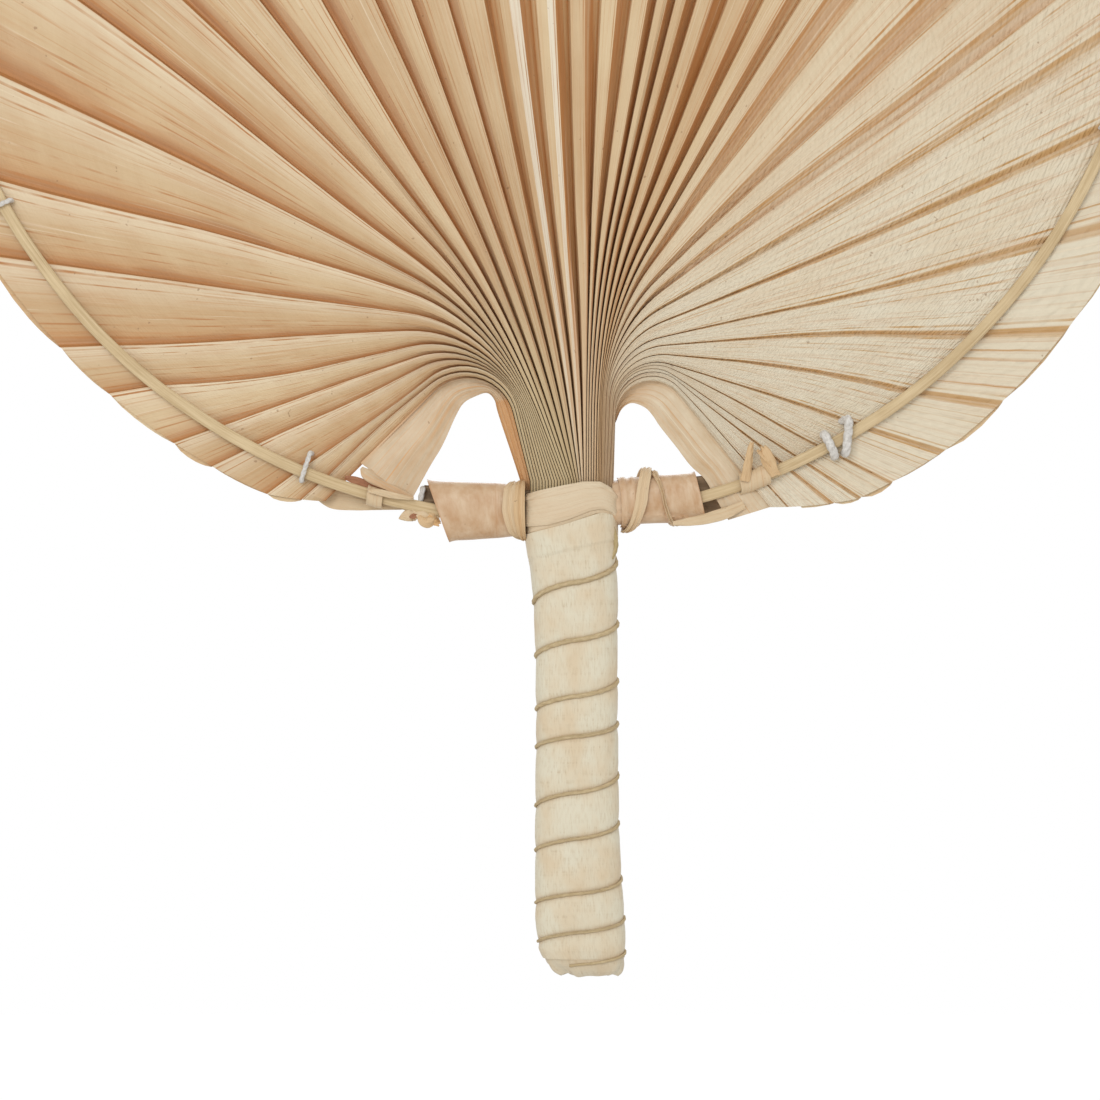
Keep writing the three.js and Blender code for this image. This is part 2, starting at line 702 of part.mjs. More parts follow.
function fullCollar(bottom, top) {
  const ring = (height, offset) => collarRing(height, offset, 0, 2 * Math.PI, collarSides).slice(0, -1);
  const swell = -collarWall * (1 - collarFootShare);
  const outer = [ring(bottom, swell), ring(top, 0)];
  return loftRing([...outer, ring(top, -collarWall), ring(bottom, -collarWall)]);
}

function halfCollar(bottom, top, side) {
  const steps = collarSides / 2;
  const [from, to] = [collarOpening, Math.PI - collarOpening];
  const wall = (height) => {
    const outer = collarRing(height, 0, side * from, side * to, steps);
    const inner = collarRing(height, -collarWall, side * from, side * to, steps);
    return [...outer, ...inner.reverse()];
  };
  const loops = [bottom, (bottom + top) / 2, top].map(wall);
  const count = loops[0].length;
  const triangles = [];
  for (let ring = 0; ring + 1 < loops.length; ring += 1) {
    bridgeLoops(triangles, ring * count, (ring + 1) * count, count);
  }
  const last = (loops.length - 1) * count;
  for (let i = 0; i < steps; i += 1) {
    const across = count - 1 - i;
    const [a, b] = [last + i, last + across];
    triangles.push([i, across, i + 1], [i + 1, across, across - 1]);
    triangles.push([a, a + 1, b], [a + 1, b - 1, b]);
  }
  return closedBody(loops.flat(), triangles);
}

const collarLowerBottom = wrapTop + gap + collarLean * (collarWidth / 2);
add('collar_lower_turn', fullCollar(collarLowerBottom, collarLowerTop), 0xe0c9a0);
add('collar_front_pass', halfCollar(collarLowerTop + gap, collarTop, -1), 0xe5d1ac);
add('collar_back_pass', halfCollar(collarLowerTop + gap, collarTop, 1), 0xdcc59b);

// Sleeves on the crossbar's arms. Columns of each station: its place across and
// its lowest and highest point, as shares by the throat, and how far the ring
// leans towards +X over its height, as a share of the throat's width.
const armShares = {
  left_crossbar_wrap: [
    [-1.602, -0.355, 0.006, -0.263], [-1.291, -0.351, -0.002, -0.159],
    [-1.012, -0.341, -0.006, -0.06], [-0.821, -0.337, -0.012, 0],
  ],
  left_crescent_lashing: [
    [-0.805, -0.329, -0.016, 0], [-0.713, -0.339, -0.014, 0], [-0.622, -0.326, -0.012, 0],
  ],
  right_crossbar_wrap: [
    [0.98, -0.248, 0.047, -0.08], [1.179, -0.246, 0.041, -0.08],
    [1.398, -0.238, 0.048, -0.1], [1.53, -0.227, 0.052, -0.12],
  ],
  right_twisted_lashing: [
    [0.657, -0.302, 0.047, 0.135], [0.761, -0.314, 0.074, 0.143], [0.869, -0.291, 0.066, 0.104],
  ],
};
const armColors = {
  left_crossbar_wrap: 0xd9b892,
  left_crescent_lashing: 0xcdb07e,
  right_crossbar_wrap: 0xd3ad82,
  right_twisted_lashing: 0xcfa878,
};
const armSides = 20;
const armPower = 2.5;

function armRing([across, lowShare, highShare, leanShare], inset) {
  const [low, high] = [throatPlace(across, lowShare), throatPlace(across, highShare)];
  const height = high.y - low.y;
  return Array.from({ length: armSides }, (_, i) => {
    const turn = (2 * Math.PI * i) / armSides;
    const [y, z] = roundedPoint(turn, armDepth / 2 - inset, height / 2 - inset, armPower);
    const lean = leanShare * throatWidth * (z / height);
    return new THREE.Vector3(low.x + lean, y, (low.y + high.y) / 2 + z);
  });
}

for (const [name, stations] of Object.entries(armShares)) {
  const outer = stations.map((station) => armRing(station, 0));
  const inner = stations.toReversed().map((station) => armRing(station, armWall));
  add(name, loftRing([...outer, ...inner]), armColors[name]);
}

// Frayed ends of leaf strip: tapering ribbons by the hoop. Columns of each place:
// across and up from a place on the hoop, how far it lies off the ribbon's own
// depth, and its half width, all as shares of the hoop strip's width.
const ribbonThickness = 0.6;
const tieFront = -(stripOuterFace + gap + tieWall + gap + ribbonThickness / 2);
const ribbons = [
  {
    name: 'left_tie_end',
    angle: hoopAngle(leftTieShare),
    depth: tieFront,
    color: 0xd2a873,
    shares: [
      [-0.3, 0.21, 0, 0.6], [0.7, 0.04, 0, 0.69],
      [1.9, -0.06, 0.11, 0.49], [2.75, -0.22, 0.24, 0.14],
    ],
  },
  {
    name: 'right_tie_end_long',
    angle: hoopAngle(rightTieShare),
    depth: tieFront,
    color: 0xd6ae76,
    shares: [
      [0.11, 0.02, 0, 0.4], [-0.23, 1.16, -0.14, 0.46],
      [-0.57, 2.25, -0.26, 0.34], [-0.63, 3.05, -0.29, 0.14],
    ],
  },
  {
    name: 'right_tie_end_short',
    angle: hoopAngle(rightTieShare),
    depth: tieFront,
    color: 0xd6ae76,
    shares: [
      [1.06, 0.25, 0, 0.43], [0.91, 1.33, -0.11, 0.46],
      [0.57, 2.19, -0.23, 0.31], [0.4, 2.7, -0.29, 0.11],
    ],
  },
  {
    name: 'left_hoop_end_scrap',
    angle: hoopAngle(hoopScrapShare),
    depth: -stripFace,
    color: 0xd09a66,
    shares: [
      [-0.26, -0.89, 0, 0.14], [0.6, -1.37, 0, 0.34],
      [1.69, -1.86, 0, 0.43], [3.26, -1.8, 0, 0.34],
    ],
  },
];

function ribbonBody({ angle, depth, shares }) {
  const root = hoopPoint(angle, hoopRadius, depth);
  const path = new THREE.CatmullRomCurve3(shares.map(([across, up, lift]) => (
    new THREE.Vector3(across, lift, up).multiplyScalar(stripWidth).add(root)
  )));
  return loft(shares.map(([, , , widthShare], i) => {
    const along = i / (shares.length - 1);
    const centre = path.getPoint(along);
    const heading = path.getTangent(along);
    const across = new THREE.Vector3(heading.z, 0, -heading.x).setLength(widthShare * stripWidth);
    const through = new THREE.Vector3(0, ribbonThickness / 2, 0);
    return [
      centre.clone().sub(across).sub(through), centre.clone().add(across).sub(through),
      centre.clone().add(across).add(through), centre.clone().sub(across).add(through),
    ];
  }));
}
for (const ends of ribbons) add(ends.name, ribbonBody(ends), ends.color);

export default group;
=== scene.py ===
import math

import bpy
import numpy as np
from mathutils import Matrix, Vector, noise


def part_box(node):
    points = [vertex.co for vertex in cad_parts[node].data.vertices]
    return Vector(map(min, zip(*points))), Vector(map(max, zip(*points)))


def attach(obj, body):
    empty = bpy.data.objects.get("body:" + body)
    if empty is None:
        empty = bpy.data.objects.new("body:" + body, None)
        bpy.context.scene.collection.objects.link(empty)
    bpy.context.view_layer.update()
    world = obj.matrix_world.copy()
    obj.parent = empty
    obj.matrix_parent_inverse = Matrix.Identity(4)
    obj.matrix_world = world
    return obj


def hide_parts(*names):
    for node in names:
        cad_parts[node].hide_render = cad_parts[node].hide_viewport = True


# Palm leaf hand fan, dressed on its CAD frame. Metres. The front faces -Y.
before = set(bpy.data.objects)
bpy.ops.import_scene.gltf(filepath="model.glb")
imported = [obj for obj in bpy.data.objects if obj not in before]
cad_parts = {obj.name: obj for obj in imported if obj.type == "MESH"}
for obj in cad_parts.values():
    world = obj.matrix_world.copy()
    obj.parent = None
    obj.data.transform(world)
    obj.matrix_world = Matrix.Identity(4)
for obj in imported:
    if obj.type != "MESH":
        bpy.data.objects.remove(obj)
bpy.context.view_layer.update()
bpy.ops.object.select_all(action="DESELECT")


# Studio. A pale floor well below the handle, a soft lamp from the left, a weak
# one from the right, and a white surround that only the camera sees as white.
scene = bpy.context.scene
scene.view_settings.view_transform = "Standard"

camera_place = (-0.0081, -0.917, 0.0615)
bpy.ops.object.camera_add(location=camera_place, rotation=(math.pi / 2, 0, 0))
camera = bpy.context.object
camera.data.sensor_width = 36
camera.data.lens = 100
scene.camera = camera


def add_node(tree, kind, **inputs):
    """Adds a node. An input goes by its name, with _ for a space, or by i and its number."""
    node = tree.nodes.new(kind)
    for name, value in inputs.items():
        if name in {"operation", "data_type", "attribute_name", "noise_dimensions"}:
            setattr(node, name, value)
            continue
        numbered = name[0] == "i" and name[1:].isdigit()
        socket = node.inputs[int(name[1:]) if numbered else name.replace("_", " ")]
        if isinstance(value, bpy.types.NodeSocket):
            tree.links.new(value, socket)
        else:
            socket.default_value = value
    return node


world = bpy.data.worlds.new("white_surround")
scene.world = world
world.use_nodes = True
tree = world.node_tree
tree.nodes.clear()
seen = add_node(tree, "ShaderNodeLightPath")
surround_level = 0.68
seen_white = add_node(tree, "ShaderNodeBackground", Color=(1, 1, 1, 1), Strength=1.0)
lighting = add_node(tree, "ShaderNodeBackground", Color=(1, 0.985, 0.96, 1), Strength=surround_level)
white_for = add_node(tree, "ShaderNodeMath", operation="MAXIMUM", i0=seen.outputs["Is Camera Ray"],
                     i1=seen.outputs["Is Glossy Ray"])
either = add_node(tree, "ShaderNodeMixShader", Fac=white_for.outputs[0], i1=lighting.outputs[0],
                  i2=seen_white.outputs[0])
add_node(tree, "ShaderNodeOutputWorld", Surface=either.outputs[0])

leaf_middle = Vector((-0.008, 0, 0.14))
for lamp_name, lamp_place, lamp_size, watts in [
    ("left_softbox", (-0.38, -1.25, 0.55), 0.6, 6.0),
    ("right_fill", (0.5, -1.3, 0.2), 0.9, 1.2),
    ("back_fill", (0.3, 1.3, 0.8), 0.9, 4.0),
]:
    bpy.ops.object.light_add(type="AREA", location=lamp_place)
    lamp = bpy.context.object
    lamp.name = lamp_name
    lamp.data.size = lamp_size
    lamp.data.energy = watts
    lamp.rotation_euler = (leaf_middle - lamp.location).to_track_quat("-Z", "Y").to_euler()

floor_height = -0.2
bpy.ops.mesh.primitive_plane_add(size=1.6, location=(0, 0, floor_height))
floor = bpy.context.object
floor.name = "floor"
material = bpy.data.materials.new("pale_floor")
material.use_nodes = True
tree = material.node_tree
tree.nodes.clear()
seen = add_node(tree, "ShaderNodeLightPath")
matt = add_node(tree, "ShaderNodeBsdfDiffuse", Color=(0.85, 0.85, 0.85, 1))
glow = add_node(tree, "ShaderNodeEmission", Color=(1, 1, 1, 1), Strength=1.1)
glow_share = add_node(tree, "ShaderNodeMath", operation="MULTIPLY", i0=seen.outputs["Is Camera Ray"], i1=0.8)
either = add_node(tree, "ShaderNodeMixShader", Fac=glow_share.outputs[0], i1=matt.outputs[0],
                  i2=glow.outputs[0])
add_node(tree, "ShaderNodeOutputMaterial", Surface=either.outputs[0])
floor.data.materials.append(material)


# Leaf blade: one palm leaf, pleated along its ribs and dried. The folds stand
# packed edge to edge in the throat, bend over at the shoulders and spread out
# flat to the hoop, so one grid of fold lines shapes the whole sheet.
strip_width = 0.0035
low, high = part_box("front_hoop_strip")
hoop_radius = (high[0] - low[0]) / 2 - strip_width / 2
hoop_centre = np.array([(low[0] + high[0]) / 2, high[2] - strip_width / 2 - hoop_radius])
leaf_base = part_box("leaf_blade")[0][2]

sheet_thickness = 0.0009
pleat_depth = 0.008
throat_width = 0.0251
throat_depth = 0.012
throat_shift = -0.0016
throat_height = leaf_base + 0.0142
bend_rise = 0.0516
bend_reach = 0.042
rim_overhang = 0.0164
hem_inset = 0.0056

# Ridge number from the left, direction in degrees from straight up, start and
# bend across, bend up, reach of the arc, and how far the tip passes the hoop.
fold_shares = [
    [0, -135, -0.5, -0.941, 0.855, 0.586, 0.36],
    [2, -126, -0.43, -0.881, 0.89, 0.607, 0.64],
    [6, -91, -0.285, -0.81, 0.878, 0.69, 0.7],
    [11, -44, -0.105, -0.82, 0.924, 0.79, 0.9],
    [14, -24.5, -0.01, -0.64, 0.924, 0.79, 1],
    [18, -7.5, 0.1, -0.128, 0.924, 0.79, 1],
    [20, 0.9, 0.155, 0.17, 0.924, 0.79, 1],
    [22, 10, 0.215, 0.218, 0.924, 0.79, 1],
    [25, 18.6, 0.305, 0.338, 0.924, 0.7, 1.02],
    [28, 35.2, 0.36, 0.385, 0.89, 0.57, 1.05],
    [31, 58.8, 0.39, 0.445, 0.849, 0.46, 1.1],
    [33, 76, 0.41, 0.469, 0.762, 0.36, 1.15],
    [36, 106, 0.44, 0.53, 0.762, 0.386, 1.22],
    [38, 123.8, 0.47, 0.565, 0.82, 0.457, 1.1],
    [41, 141, 0.5, 0.553, 0.936, 0.686, 0.57],
]
last_ridge = fold_shares[-1][0]
throat_side_share = 0.4

# Rows along each fold line, by the stretch of it that they are on, with how much
# of the throat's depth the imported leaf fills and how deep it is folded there.
stem_rows, arc_rows, spread_rows, hem_rows = 7, 14, 30, 3
fill_shares = [[0, 1], [1, 1], [2, 0.97], [2.2, 0.85], [2.4, 0.66], [2.6, 0.42], [2.8, 0.22], [3, 0.1],
               [3.25, 0], [6, 0]]
depth_shares = [[0, 0.1], [1, 0.13], [2, 0.2], [2.2, 0.32], [2.4, 0.46], [2.6, 0.56], [2.8, 0.62], [3, 0.62],
                [3.25, 0.6], [3.5, 0.56], [3.75, 0.52], [4, 0.46], [5, 0.4], [6, 0.3]]


def read_table(table, key):
    """The table's row at a key that may lie between two of its rows."""
    columns = np.array(table, float).T
    return [np.interp(key, columns[0], column) for column in columns[1:]]


def throat_place(across, up):
    """X and Z of a place in the throat, from shares of its width and of the bends' rise."""
    return np.array([throat_shift + across * throat_width, throat_height + up * bend_rise])


def reach_circle(start, direction, radius):
    """How far it is from a place, in a direction, to a circle about the hoop's centre."""
    offset = start - hoop_centre
    along = offset @ direction
    return -along + math.sqrt(along ** 2 - offset @ offset + radius ** 2)


stretches = np.concatenate([
    [0], np.linspace(1, 2, stem_rows), np.linspace(2, 3, arc_rows)[1:], np.linspace(3, 4, spread_rows)[1:],
    np.linspace(4, 5, hem_rows)[1:], np.linspace(5, 6, hem_rows)[1:],
])


def fold_line(ridge):
    """The fold line's places, from the leaf's base to its rim, one for each stretch value."""
    heading, start_share, across, up, leg_share, pass_share = read_table(fold_shares, ridge)
    start, bend = throat_place(start_share, 0), throat_place(across, up)
    ray = np.array([math.sin(math.radians(heading)), math.cos(math.radians(heading))])
    stem = (bend - start) / np.linalg.norm(bend - start)
    leg = leg_share * bend_reach
    weight = math.sqrt((1 + stem @ ray) / 2)
    places = [np.array([start[0], leaf_base])]
    places += [start + (bend - stem * leg - start) * t for t in np.linspace(0, 1, stem_rows)]
    for t in np.linspace(0, 1, arc_rows)[1:]:
        parts = (1 - t) ** 2, 2 * weight * t * (1 - t), t ** 2
        places.append(bend + (ray * leg * parts[2] - stem * leg * parts[0]) / sum(parts))
    to_hoop = reach_circle(bend, ray, hoop_radius)
    to_hem = reach_circle(bend, ray, hoop_radius + hem_inset)
    to_rim = reach_circle(bend, ray, hoop_radius + pass_share * rim_overhang)
    parts = [(leg, to_hoop, spread_rows), (to_hoop, to_hem, hem_rows), (to_hem, to_rim, hem_rows)]
    for first, last, rows in parts:
        places += [bend + ray * (first + (last - first) * t) for t in np.linspace(0, 1, rows)[1:]]
    return np.array(places)


line_keys = np.linspace(0, last_ridge, 20 * last_ridge + 1)
line_places = np.array([fold_line(key) for key in line_keys])


def leaf_places(keys):
    """X and Z of a grid of fold line keys, one column of keys for each row of the leaf."""
    rows = range(len(stretches))
    return [np.stack([np.interp(keys[:, row], line_keys, line_places[:, row, axis]) for row in rows], 1)
            for axis in (0, 1)]


# Across each pleat: where the groove starts, where it is deepest and where it
# ends, as shares of the way to the next ridge, and how deep it still is there.
# By the throat every ridge is a flat strip between narrow grooves. Further out
# the left panels rise slowly from a sharp drop, and the right ones lie flat.
throat_groove_shares = [[0, 0.14, 0.13], [12, 0.14, 0.13], [17, 0.5, 0.17], [24, 0.5, 0.18], [28, 0.3, 0.13],
                        [31, 0.13, 0.1], [41, 0.13, 0.1]]
spread_profiles = [
    [0, 0.004, 0.035, 0.4, 0.58], [16, 0.004, 0.04, 0.4, 0.56], [19, 0.02, 0.42, 0.5, 0.1],
    [29, 0.03, 0.36, 0.42, 0.06], [32, 0.02, 0.07, 0.11, 0.03], [41, 0.02, 0.07, 0.11, 0.03],
]
side_depth_shares = [[0, 0.28], [8, 0.4], [14, 0.55], [18, 0.75], [24, 0.85], [30, 0.3], [33, 0.15],
                     [41, 0.15]]
pleat_steps = [0, 0.5, 1, 1.34, 1.67, 2, 2.34, 2.67, 3, 3.33, 3.67]
groove_extra = 0.0024
panel_bulge = 0.06
ridge_slide = 0.42
hoop_stretch = 4


def wander(*place):
    """Smooth noise from -1 to 1, the same on every run."""
    return noise.noise(Vector(place))


columns = [(ridge, step) for ridge in range(last_ridge) for step in pleat_steps] + [(last_ridge, 0)]
keys = np.zeros((len(columns), len(stretches)))
ribs_across = np.zeros_like(keys)
creases = np.zeros_like(keys)
shades = np.zeros_like(keys)
heights = np.zeros_like(keys)
fills = np.array([read_table(fill_shares, stretch)[0] for stretch in stretches])
depths = np.array([read_table(depth_shares, stretch)[0] for stretch in stretches]) * pleat_depth
spreads = np.clip((stretches - 2.15) / 0.95, 0, 1)
for column, (ridge, step) in enumerate(columns):
    outer = read_table(spread_profiles, ridge)
    groove_middle, half_groove = read_table(throat_groove_shares, ridge)
    throat_profile = [groove_middle - half_groove, groove_middle, groove_middle + half_groove, 0.0]
    side_depth = read_table(side_depth_shares, ridge)[0]
    every_fold_shows = ridge < 27 or ridge % 3 == 0
    packed = np.interp(ridge, [0, 12, 16], [0.8, 0.8, 1]) if every_fold_shows else 0.2
    for row, spread in enumerate(spreads):
        start, deepest, end, rest = [a + (b - a) * spread for a, b in zip(throat_profile, outer)]
        share = np.interp(step, [0, 1, 2, 3, 4], [0, start, deepest, end, 1])
        crease = np.interp(step, [0, 1, 2, 3, 4], [0, 0.03, 1, rest, 0])
        if step > 3:
            crease += panel_bulge * math.sin(math.pi * (step - 3)) * spread
        slides = [ridge_slide * spread * wander(number * 1.73, min(stretches[row], hoop_stretch) * 0.9, 3.1)
                  if 0 < number < last_ridge else 0 for number in (ridge, ridge + 1)]
        keys[column, row] = ridge + share + slides[0] * (1 - share) + slides[1] * share
        ribs_across[column, row] = ridge + share
        creases[column, row] = crease * (packed + (side_depth - packed) * spread)
        shades[column, row] = crease
        heights[column, row] = wander(ridge * 2.3, stretches[row] * 0.8, 7.7) * spread
keys = np.clip(keys, 0, last_ridge)
leaf_x, leaf_z = leaf_places(keys)
edge_side = np.abs(2 * np.interp(keys, np.array(fold_shares)[:, 0], np.array(fold_shares)[:, 2]))
roundness = throat_side_share + (1 - throat_side_share) * (1 - edge_side ** 3)
halves = (fills * throat_depth * roundness + sheet_thickness * (1 - fills)) / 2
ridge_scatter = 0.0011
crests = -depths / 2 + heights * ridge_scatter
front_y = crests - halves + creases * (depths + groove_extra * fills)
back_y = crests + halves + creases * depths - (1 - creases) * groove_extra * fills * 0.6


def sheet_body(name, front, back, closed=False):
    """A sheet over a grid of front points and one of back points. A closed one joins last to first."""
    count, rows = front.shape[:2]
    behind = count * rows
    faces = []
    for a in range(count if closed else count - 1):
        ahead = (a + 1) % count * rows
        for b in range(rows - 1):
            quad = [a * rows + b, ahead + b, ahead + b + 1, a * rows + b + 1]
            faces += [quad, [behind + point for point in reversed(quad)]]
    low_edge = [a * rows for a in range(count)]
    high_edge = [a * rows + rows - 1 for a in range(count)]
    if closed:
        edges = [low_edge, high_edge[::-1]]
    else:
        sides = [(count - 1) * rows + b for b in range(1, rows - 1)], list(range(rows - 2, 0, -1))
        edges = [low_edge + sides[0] + high_edge[::-1] + sides[1]]
    for edge in edges:
        for here, ahead in zip(edge, edge[1:] + edge[:1]):
            faces.append([ahead, here, behind + here, behind + ahead])
    mesh = bpy.data.meshes.new(name)
    mesh.from_pydata(np.concatenate([front.reshape(-1, 3), back.reshape(-1, 3)]).tolist(), [], faces)
    piece = bpy.data.objects.new(name, mesh)
    scene.collection.objects.link(piece)
    return piece


def lay_ribs(mesh, across, along):
    """The mesh's UV map, from a value across and one along for each of its points."""
    corners = np.zeros(len(mesh.loops), int)
    mesh.loops.foreach_get("vertex_index", corners)
    layer = mesh.uv_layers.new(name="ribs")
    layer.data.foreach_set("uv", np.stack([across[corners], along[corners]], 1).ravel())


def mark_creases(mesh, crease):
    """Notes a value for each of the mesh's points, mostly how deep in its fold it lies; the shaders darken by
    it as painted shade.
    """
    attribute = mesh.attributes.new("crease", "FLOAT", "POINT")
    attribute.data.foreach_set("value", crease.astype(np.float32))


def paint_sheet(piece, across, along, crease):
    """A UV map that follows the leaf's ribs and the creases, the same on both faces of a sheet."""
    lay_ribs(piece.data, *(np.tile(values.ravel(), 2) for values in (across, along)))
    mark_creases(piece.data, np.tile(crease.ravel(), 2))


def finish_piece(piece, slot, material, *nodes, smooth=40):
    """Shades a finished piece and ties it to the frame."""
    bpy.ops.object.select_all(action="DESELECT")
    piece.select_set(True)
    bpy.context.view_layer.objects.active = piece
    bpy.ops.object.mode_set(mode="EDIT")
    bpy.ops.mesh.select_all(action="SELECT")
    bpy.ops.mesh.normals_make_consistent(inside=False)
    bpy.ops.object.mode_set(mode="OBJECT")
    bpy.ops.object.shade_smooth_by_angle(angle=math.radians(smooth))
    piece.data.materials.clear()
    piece.data.materials.append(material)
    piece.select_set(False)
    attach(piece, "root")
    if nodes:
        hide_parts(*nodes)


leaf_blade = sheet_body("palm_leaf_blade", *(np.stack([leaf_x, y, leaf_z], 2) for y in (front_y, back_y)))
to_centimetres = 100


def travelled(path):
    """How far along a path each of its places is, in centimetres."""
    steps = np.linalg.norm(np.diff(path, axis=0), axis=1)
    return np.concatenate([[0], np.cumsum(steps)]) * to_centimetres


measured_line = line_places[400]
along_leaf = np.tile(travelled(measured_line), (len(columns), 1))
paint_sheet(leaf_blade, ribs_across, along_leaf, shades)


class Paint:
    """A material in the making: sums, noise along the piece's ribs, and colours laid over one another."""

    def __init__(self, name, roughness, specular=0.35):
        self.material = bpy.data.materials.new(name)
        self.material.use_nodes = True
        self.tree = self.material.node_tree
        self.shader = self.tree.nodes["Principled BSDF"]
        self.shader.inputs["Roughness"].default_value = roughness
        self.shader.inputs["Specular IOR Level"].default_value = specular
        self.uv = add_node(self.tree, "ShaderNodeUVMap").outputs[0]

    def number(self, operation, *values):
        inputs = {f"i{place}": value for place, value in enumerate(values)}
        return add_node(self.tree, "ShaderNodeMath", operation=operation, **inputs).outputs[0]

    def times(self, product, *others):
        for other in others:
            product = self.number("MULTIPLY", product, other)
        return product

    def scaled(self, value, factor, base):
        return self.number("MULTIPLY_ADD", value, factor, base)

    def rest(self, share):
        return self.number("SUBTRACT", 1.0, share)

    def ramp(self, value, low_end, high_end):
        """0 up to the low end, 1 from the high end on."""
        return add_node(self.tree, "ShaderNodeMapRange", Value=value, From_Min=low_end,
                        From_Max=high_end).outputs[0]

    def texture(self, scale, detail=2.0, rough=0.5):
        stretched = add_node(self.tree, "ShaderNodeMapping", Vector=self.uv, Scale=scale).outputs[0]
        return add_node(self.tree, "ShaderNodeTexNoise", Vector=stretched, Scale=1.0, Detail=detail,
                        Roughness=rough).outputs[0]

    def blend(self, share, first, second):
        mix = add_node(self.tree, "ShaderNodeMix", data_type="RGBA", i0=share, i6=first, i7=second)
        return mix.outputs[2]

    def crease(self):
        return add_node(self.tree, "ShaderNodeAttribute", attribute_name="crease").outputs["Fac"]

    def finish(self, color, relief, strength, distance, sunken=False):
        """Ties a colour and a height to the shader."""
        self.tree.links.new(color, self.shader.inputs["Base Color"])
        bump = add_node(self.tree, "ShaderNodeBump", Strength=strength, Distance=distance, Height=relief)
        bump.invert = sunken
        self.tree.links.new(bump.outputs[0], self.shader.inputs["Normal"])
        return self.material


class Pleats:
    """Where a point lies on the pleated blade. Across it, a UV unit is one ridge; along it, a centimetre."""

    def __init__(self, paint, ridge, height):
        self.ridge = ridge
        self.far = paint.ramp(ridge, 26.5, 31.5)
        self.near = paint.rest(paint.ramp(ridge, 16.5, 19.0))
        self.middle = paint.number("SUBTRACT", paint.rest(self.far), self.near)
        self.past_ridge = paint.number("FRACT", ridge)
        self.packed = paint.rest(paint.ramp(height, 2.8, 8.0))


def paint_left_panels(paint, pleats, color, colors):
    """Left side, painted light: each panel is darker just past its ridge and pale at its crest, as painted
    shade and a painted highlight, with a painted shadow band at its side and painted shade in the dark gap.
    """
    flat = paint.ramp(pleats.ridge, 8.0, 13.0)
    upper = paint.scaled(paint.ramp(pleats.ridge, 2.0, 12.0), 0.8, 0.2)
    slope = paint.times(paint.rest(paint.ramp(pleats.past_ridge, 0.05, 0.42)), pleats.near)
    slope = paint.times(slope, paint.scaled(flat, -0.45, 0.8), upper)
    color = paint.blend(slope, color, colors["slope"])
    crest = paint.times(paint.ramp(pleats.past_ridge, 0.55, 0.95), paint.scaled(flat, -0.7, 1.0))
    color = paint.blend(paint.times(crest, paint.scaled(pleats.near, 0.42, 0.14)), color, colors["crest"])
    side_width = paint.scaled(paint.texture((0.9, 0.10, 1), 1.0), 0.55, -0.02)
    side = paint.rest(paint.ramp(paint.number("SUBTRACT", pleats.past_ridge, side_width), 0.0, 0.012))
    side = paint.times(side, pleats.near, paint.scaled(flat, 0.45, 0.12))
    color = paint.blend(side, color, colors["side"])
    reach = paint.scaled(paint.texture((1.0, 0.16, 1), 1.0), 0.42, -0.05)
    fold = paint.rest(paint.ramp(pleats.past_ridge, paint.times(reach, 0.5), paint.times(reach, 1.1)))
    fold = paint.times(paint.times(fold, pleats.near), paint.times(upper, 0.9))
    return paint.blend(fold, color, colors["gap"])


def paint_middle_walls(paint, pleats, color, colors):
    """Middle: painted shade on the steep wall of each fold, red brown and streaked, as wide as the noise
    says.
    """
    wall_width = paint.scaled(paint.texture((0.8, 0.08, 1), 1.0), 0.46, 0.05)
    wall = paint.rest(paint.ramp(paint.number("SUBTRACT", pleats.past_ridge, wall_width), 0.0, 0.06))
    streaks = paint.ramp(paint.texture((5.0, 0.12, 1), 2.0), 0.38, 0.6)
    wall = paint.times(wall, paint.scaled(streaks, 0.42, 0.5), pleats.middle)
    return paint.blend(wall, color, colors["fold"])


def paint_far_lines(paint, pleats, color, colors):
    """Right side: an olive line beside each ridge, and two narrow panels near the middle painted bright as a
    highlight.
    """
    from_line = paint.number("ABSOLUTE", paint.number("SUBTRACT", pleats.past_ridge, 0.065))
    olive = paint.rest(paint.ramp(from_line, 0.05, 0.075))
    color = paint.blend(paint.times(olive, pleats.far, 0.55), color, colors["olive"])
    # Painted highlight: two narrow panels by the middle, pale as where light catches them.
    for first, last in ((17.7, 18.0), (18.76, 18.98)):
        inside = paint.times(paint.number("GREATER_THAN", pleats.ridge, first),
                             paint.number("LESS_THAN", pleats.ridge, last))
        color = paint.blend(paint.times(inside, 0.85), color, colors["bright"])
    return color


def paint_throat(paint, pleats, color, colors):
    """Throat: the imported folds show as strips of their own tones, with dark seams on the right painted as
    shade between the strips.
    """
    right_strips = paint.blend(paint.ramp(pleats.ridge, 22.5, 26.0), *colors["packed"][1:])
    strips = paint.blend(paint.ramp(pleats.ridge, 16.0, 19.0), colors["packed"][0], right_strips)
    color = paint.blend(paint.times(pleats.packed, 0.7), color, strips)
    # Painted shade: a dark seam between every third strip on the right.
    seam = paint.number("PINGPONG", paint.scaled(pleats.ridge, 0.333, -0.1), 0.5)
    seam = paint.times(paint.rest(paint.ramp(seam, 0.06, 0.13)), paint.ramp(pleats.ridge, 24.5, 26.0))
    return paint.blend(paint.times(seam, pleats.packed, 0.9), color, colors["gap"])


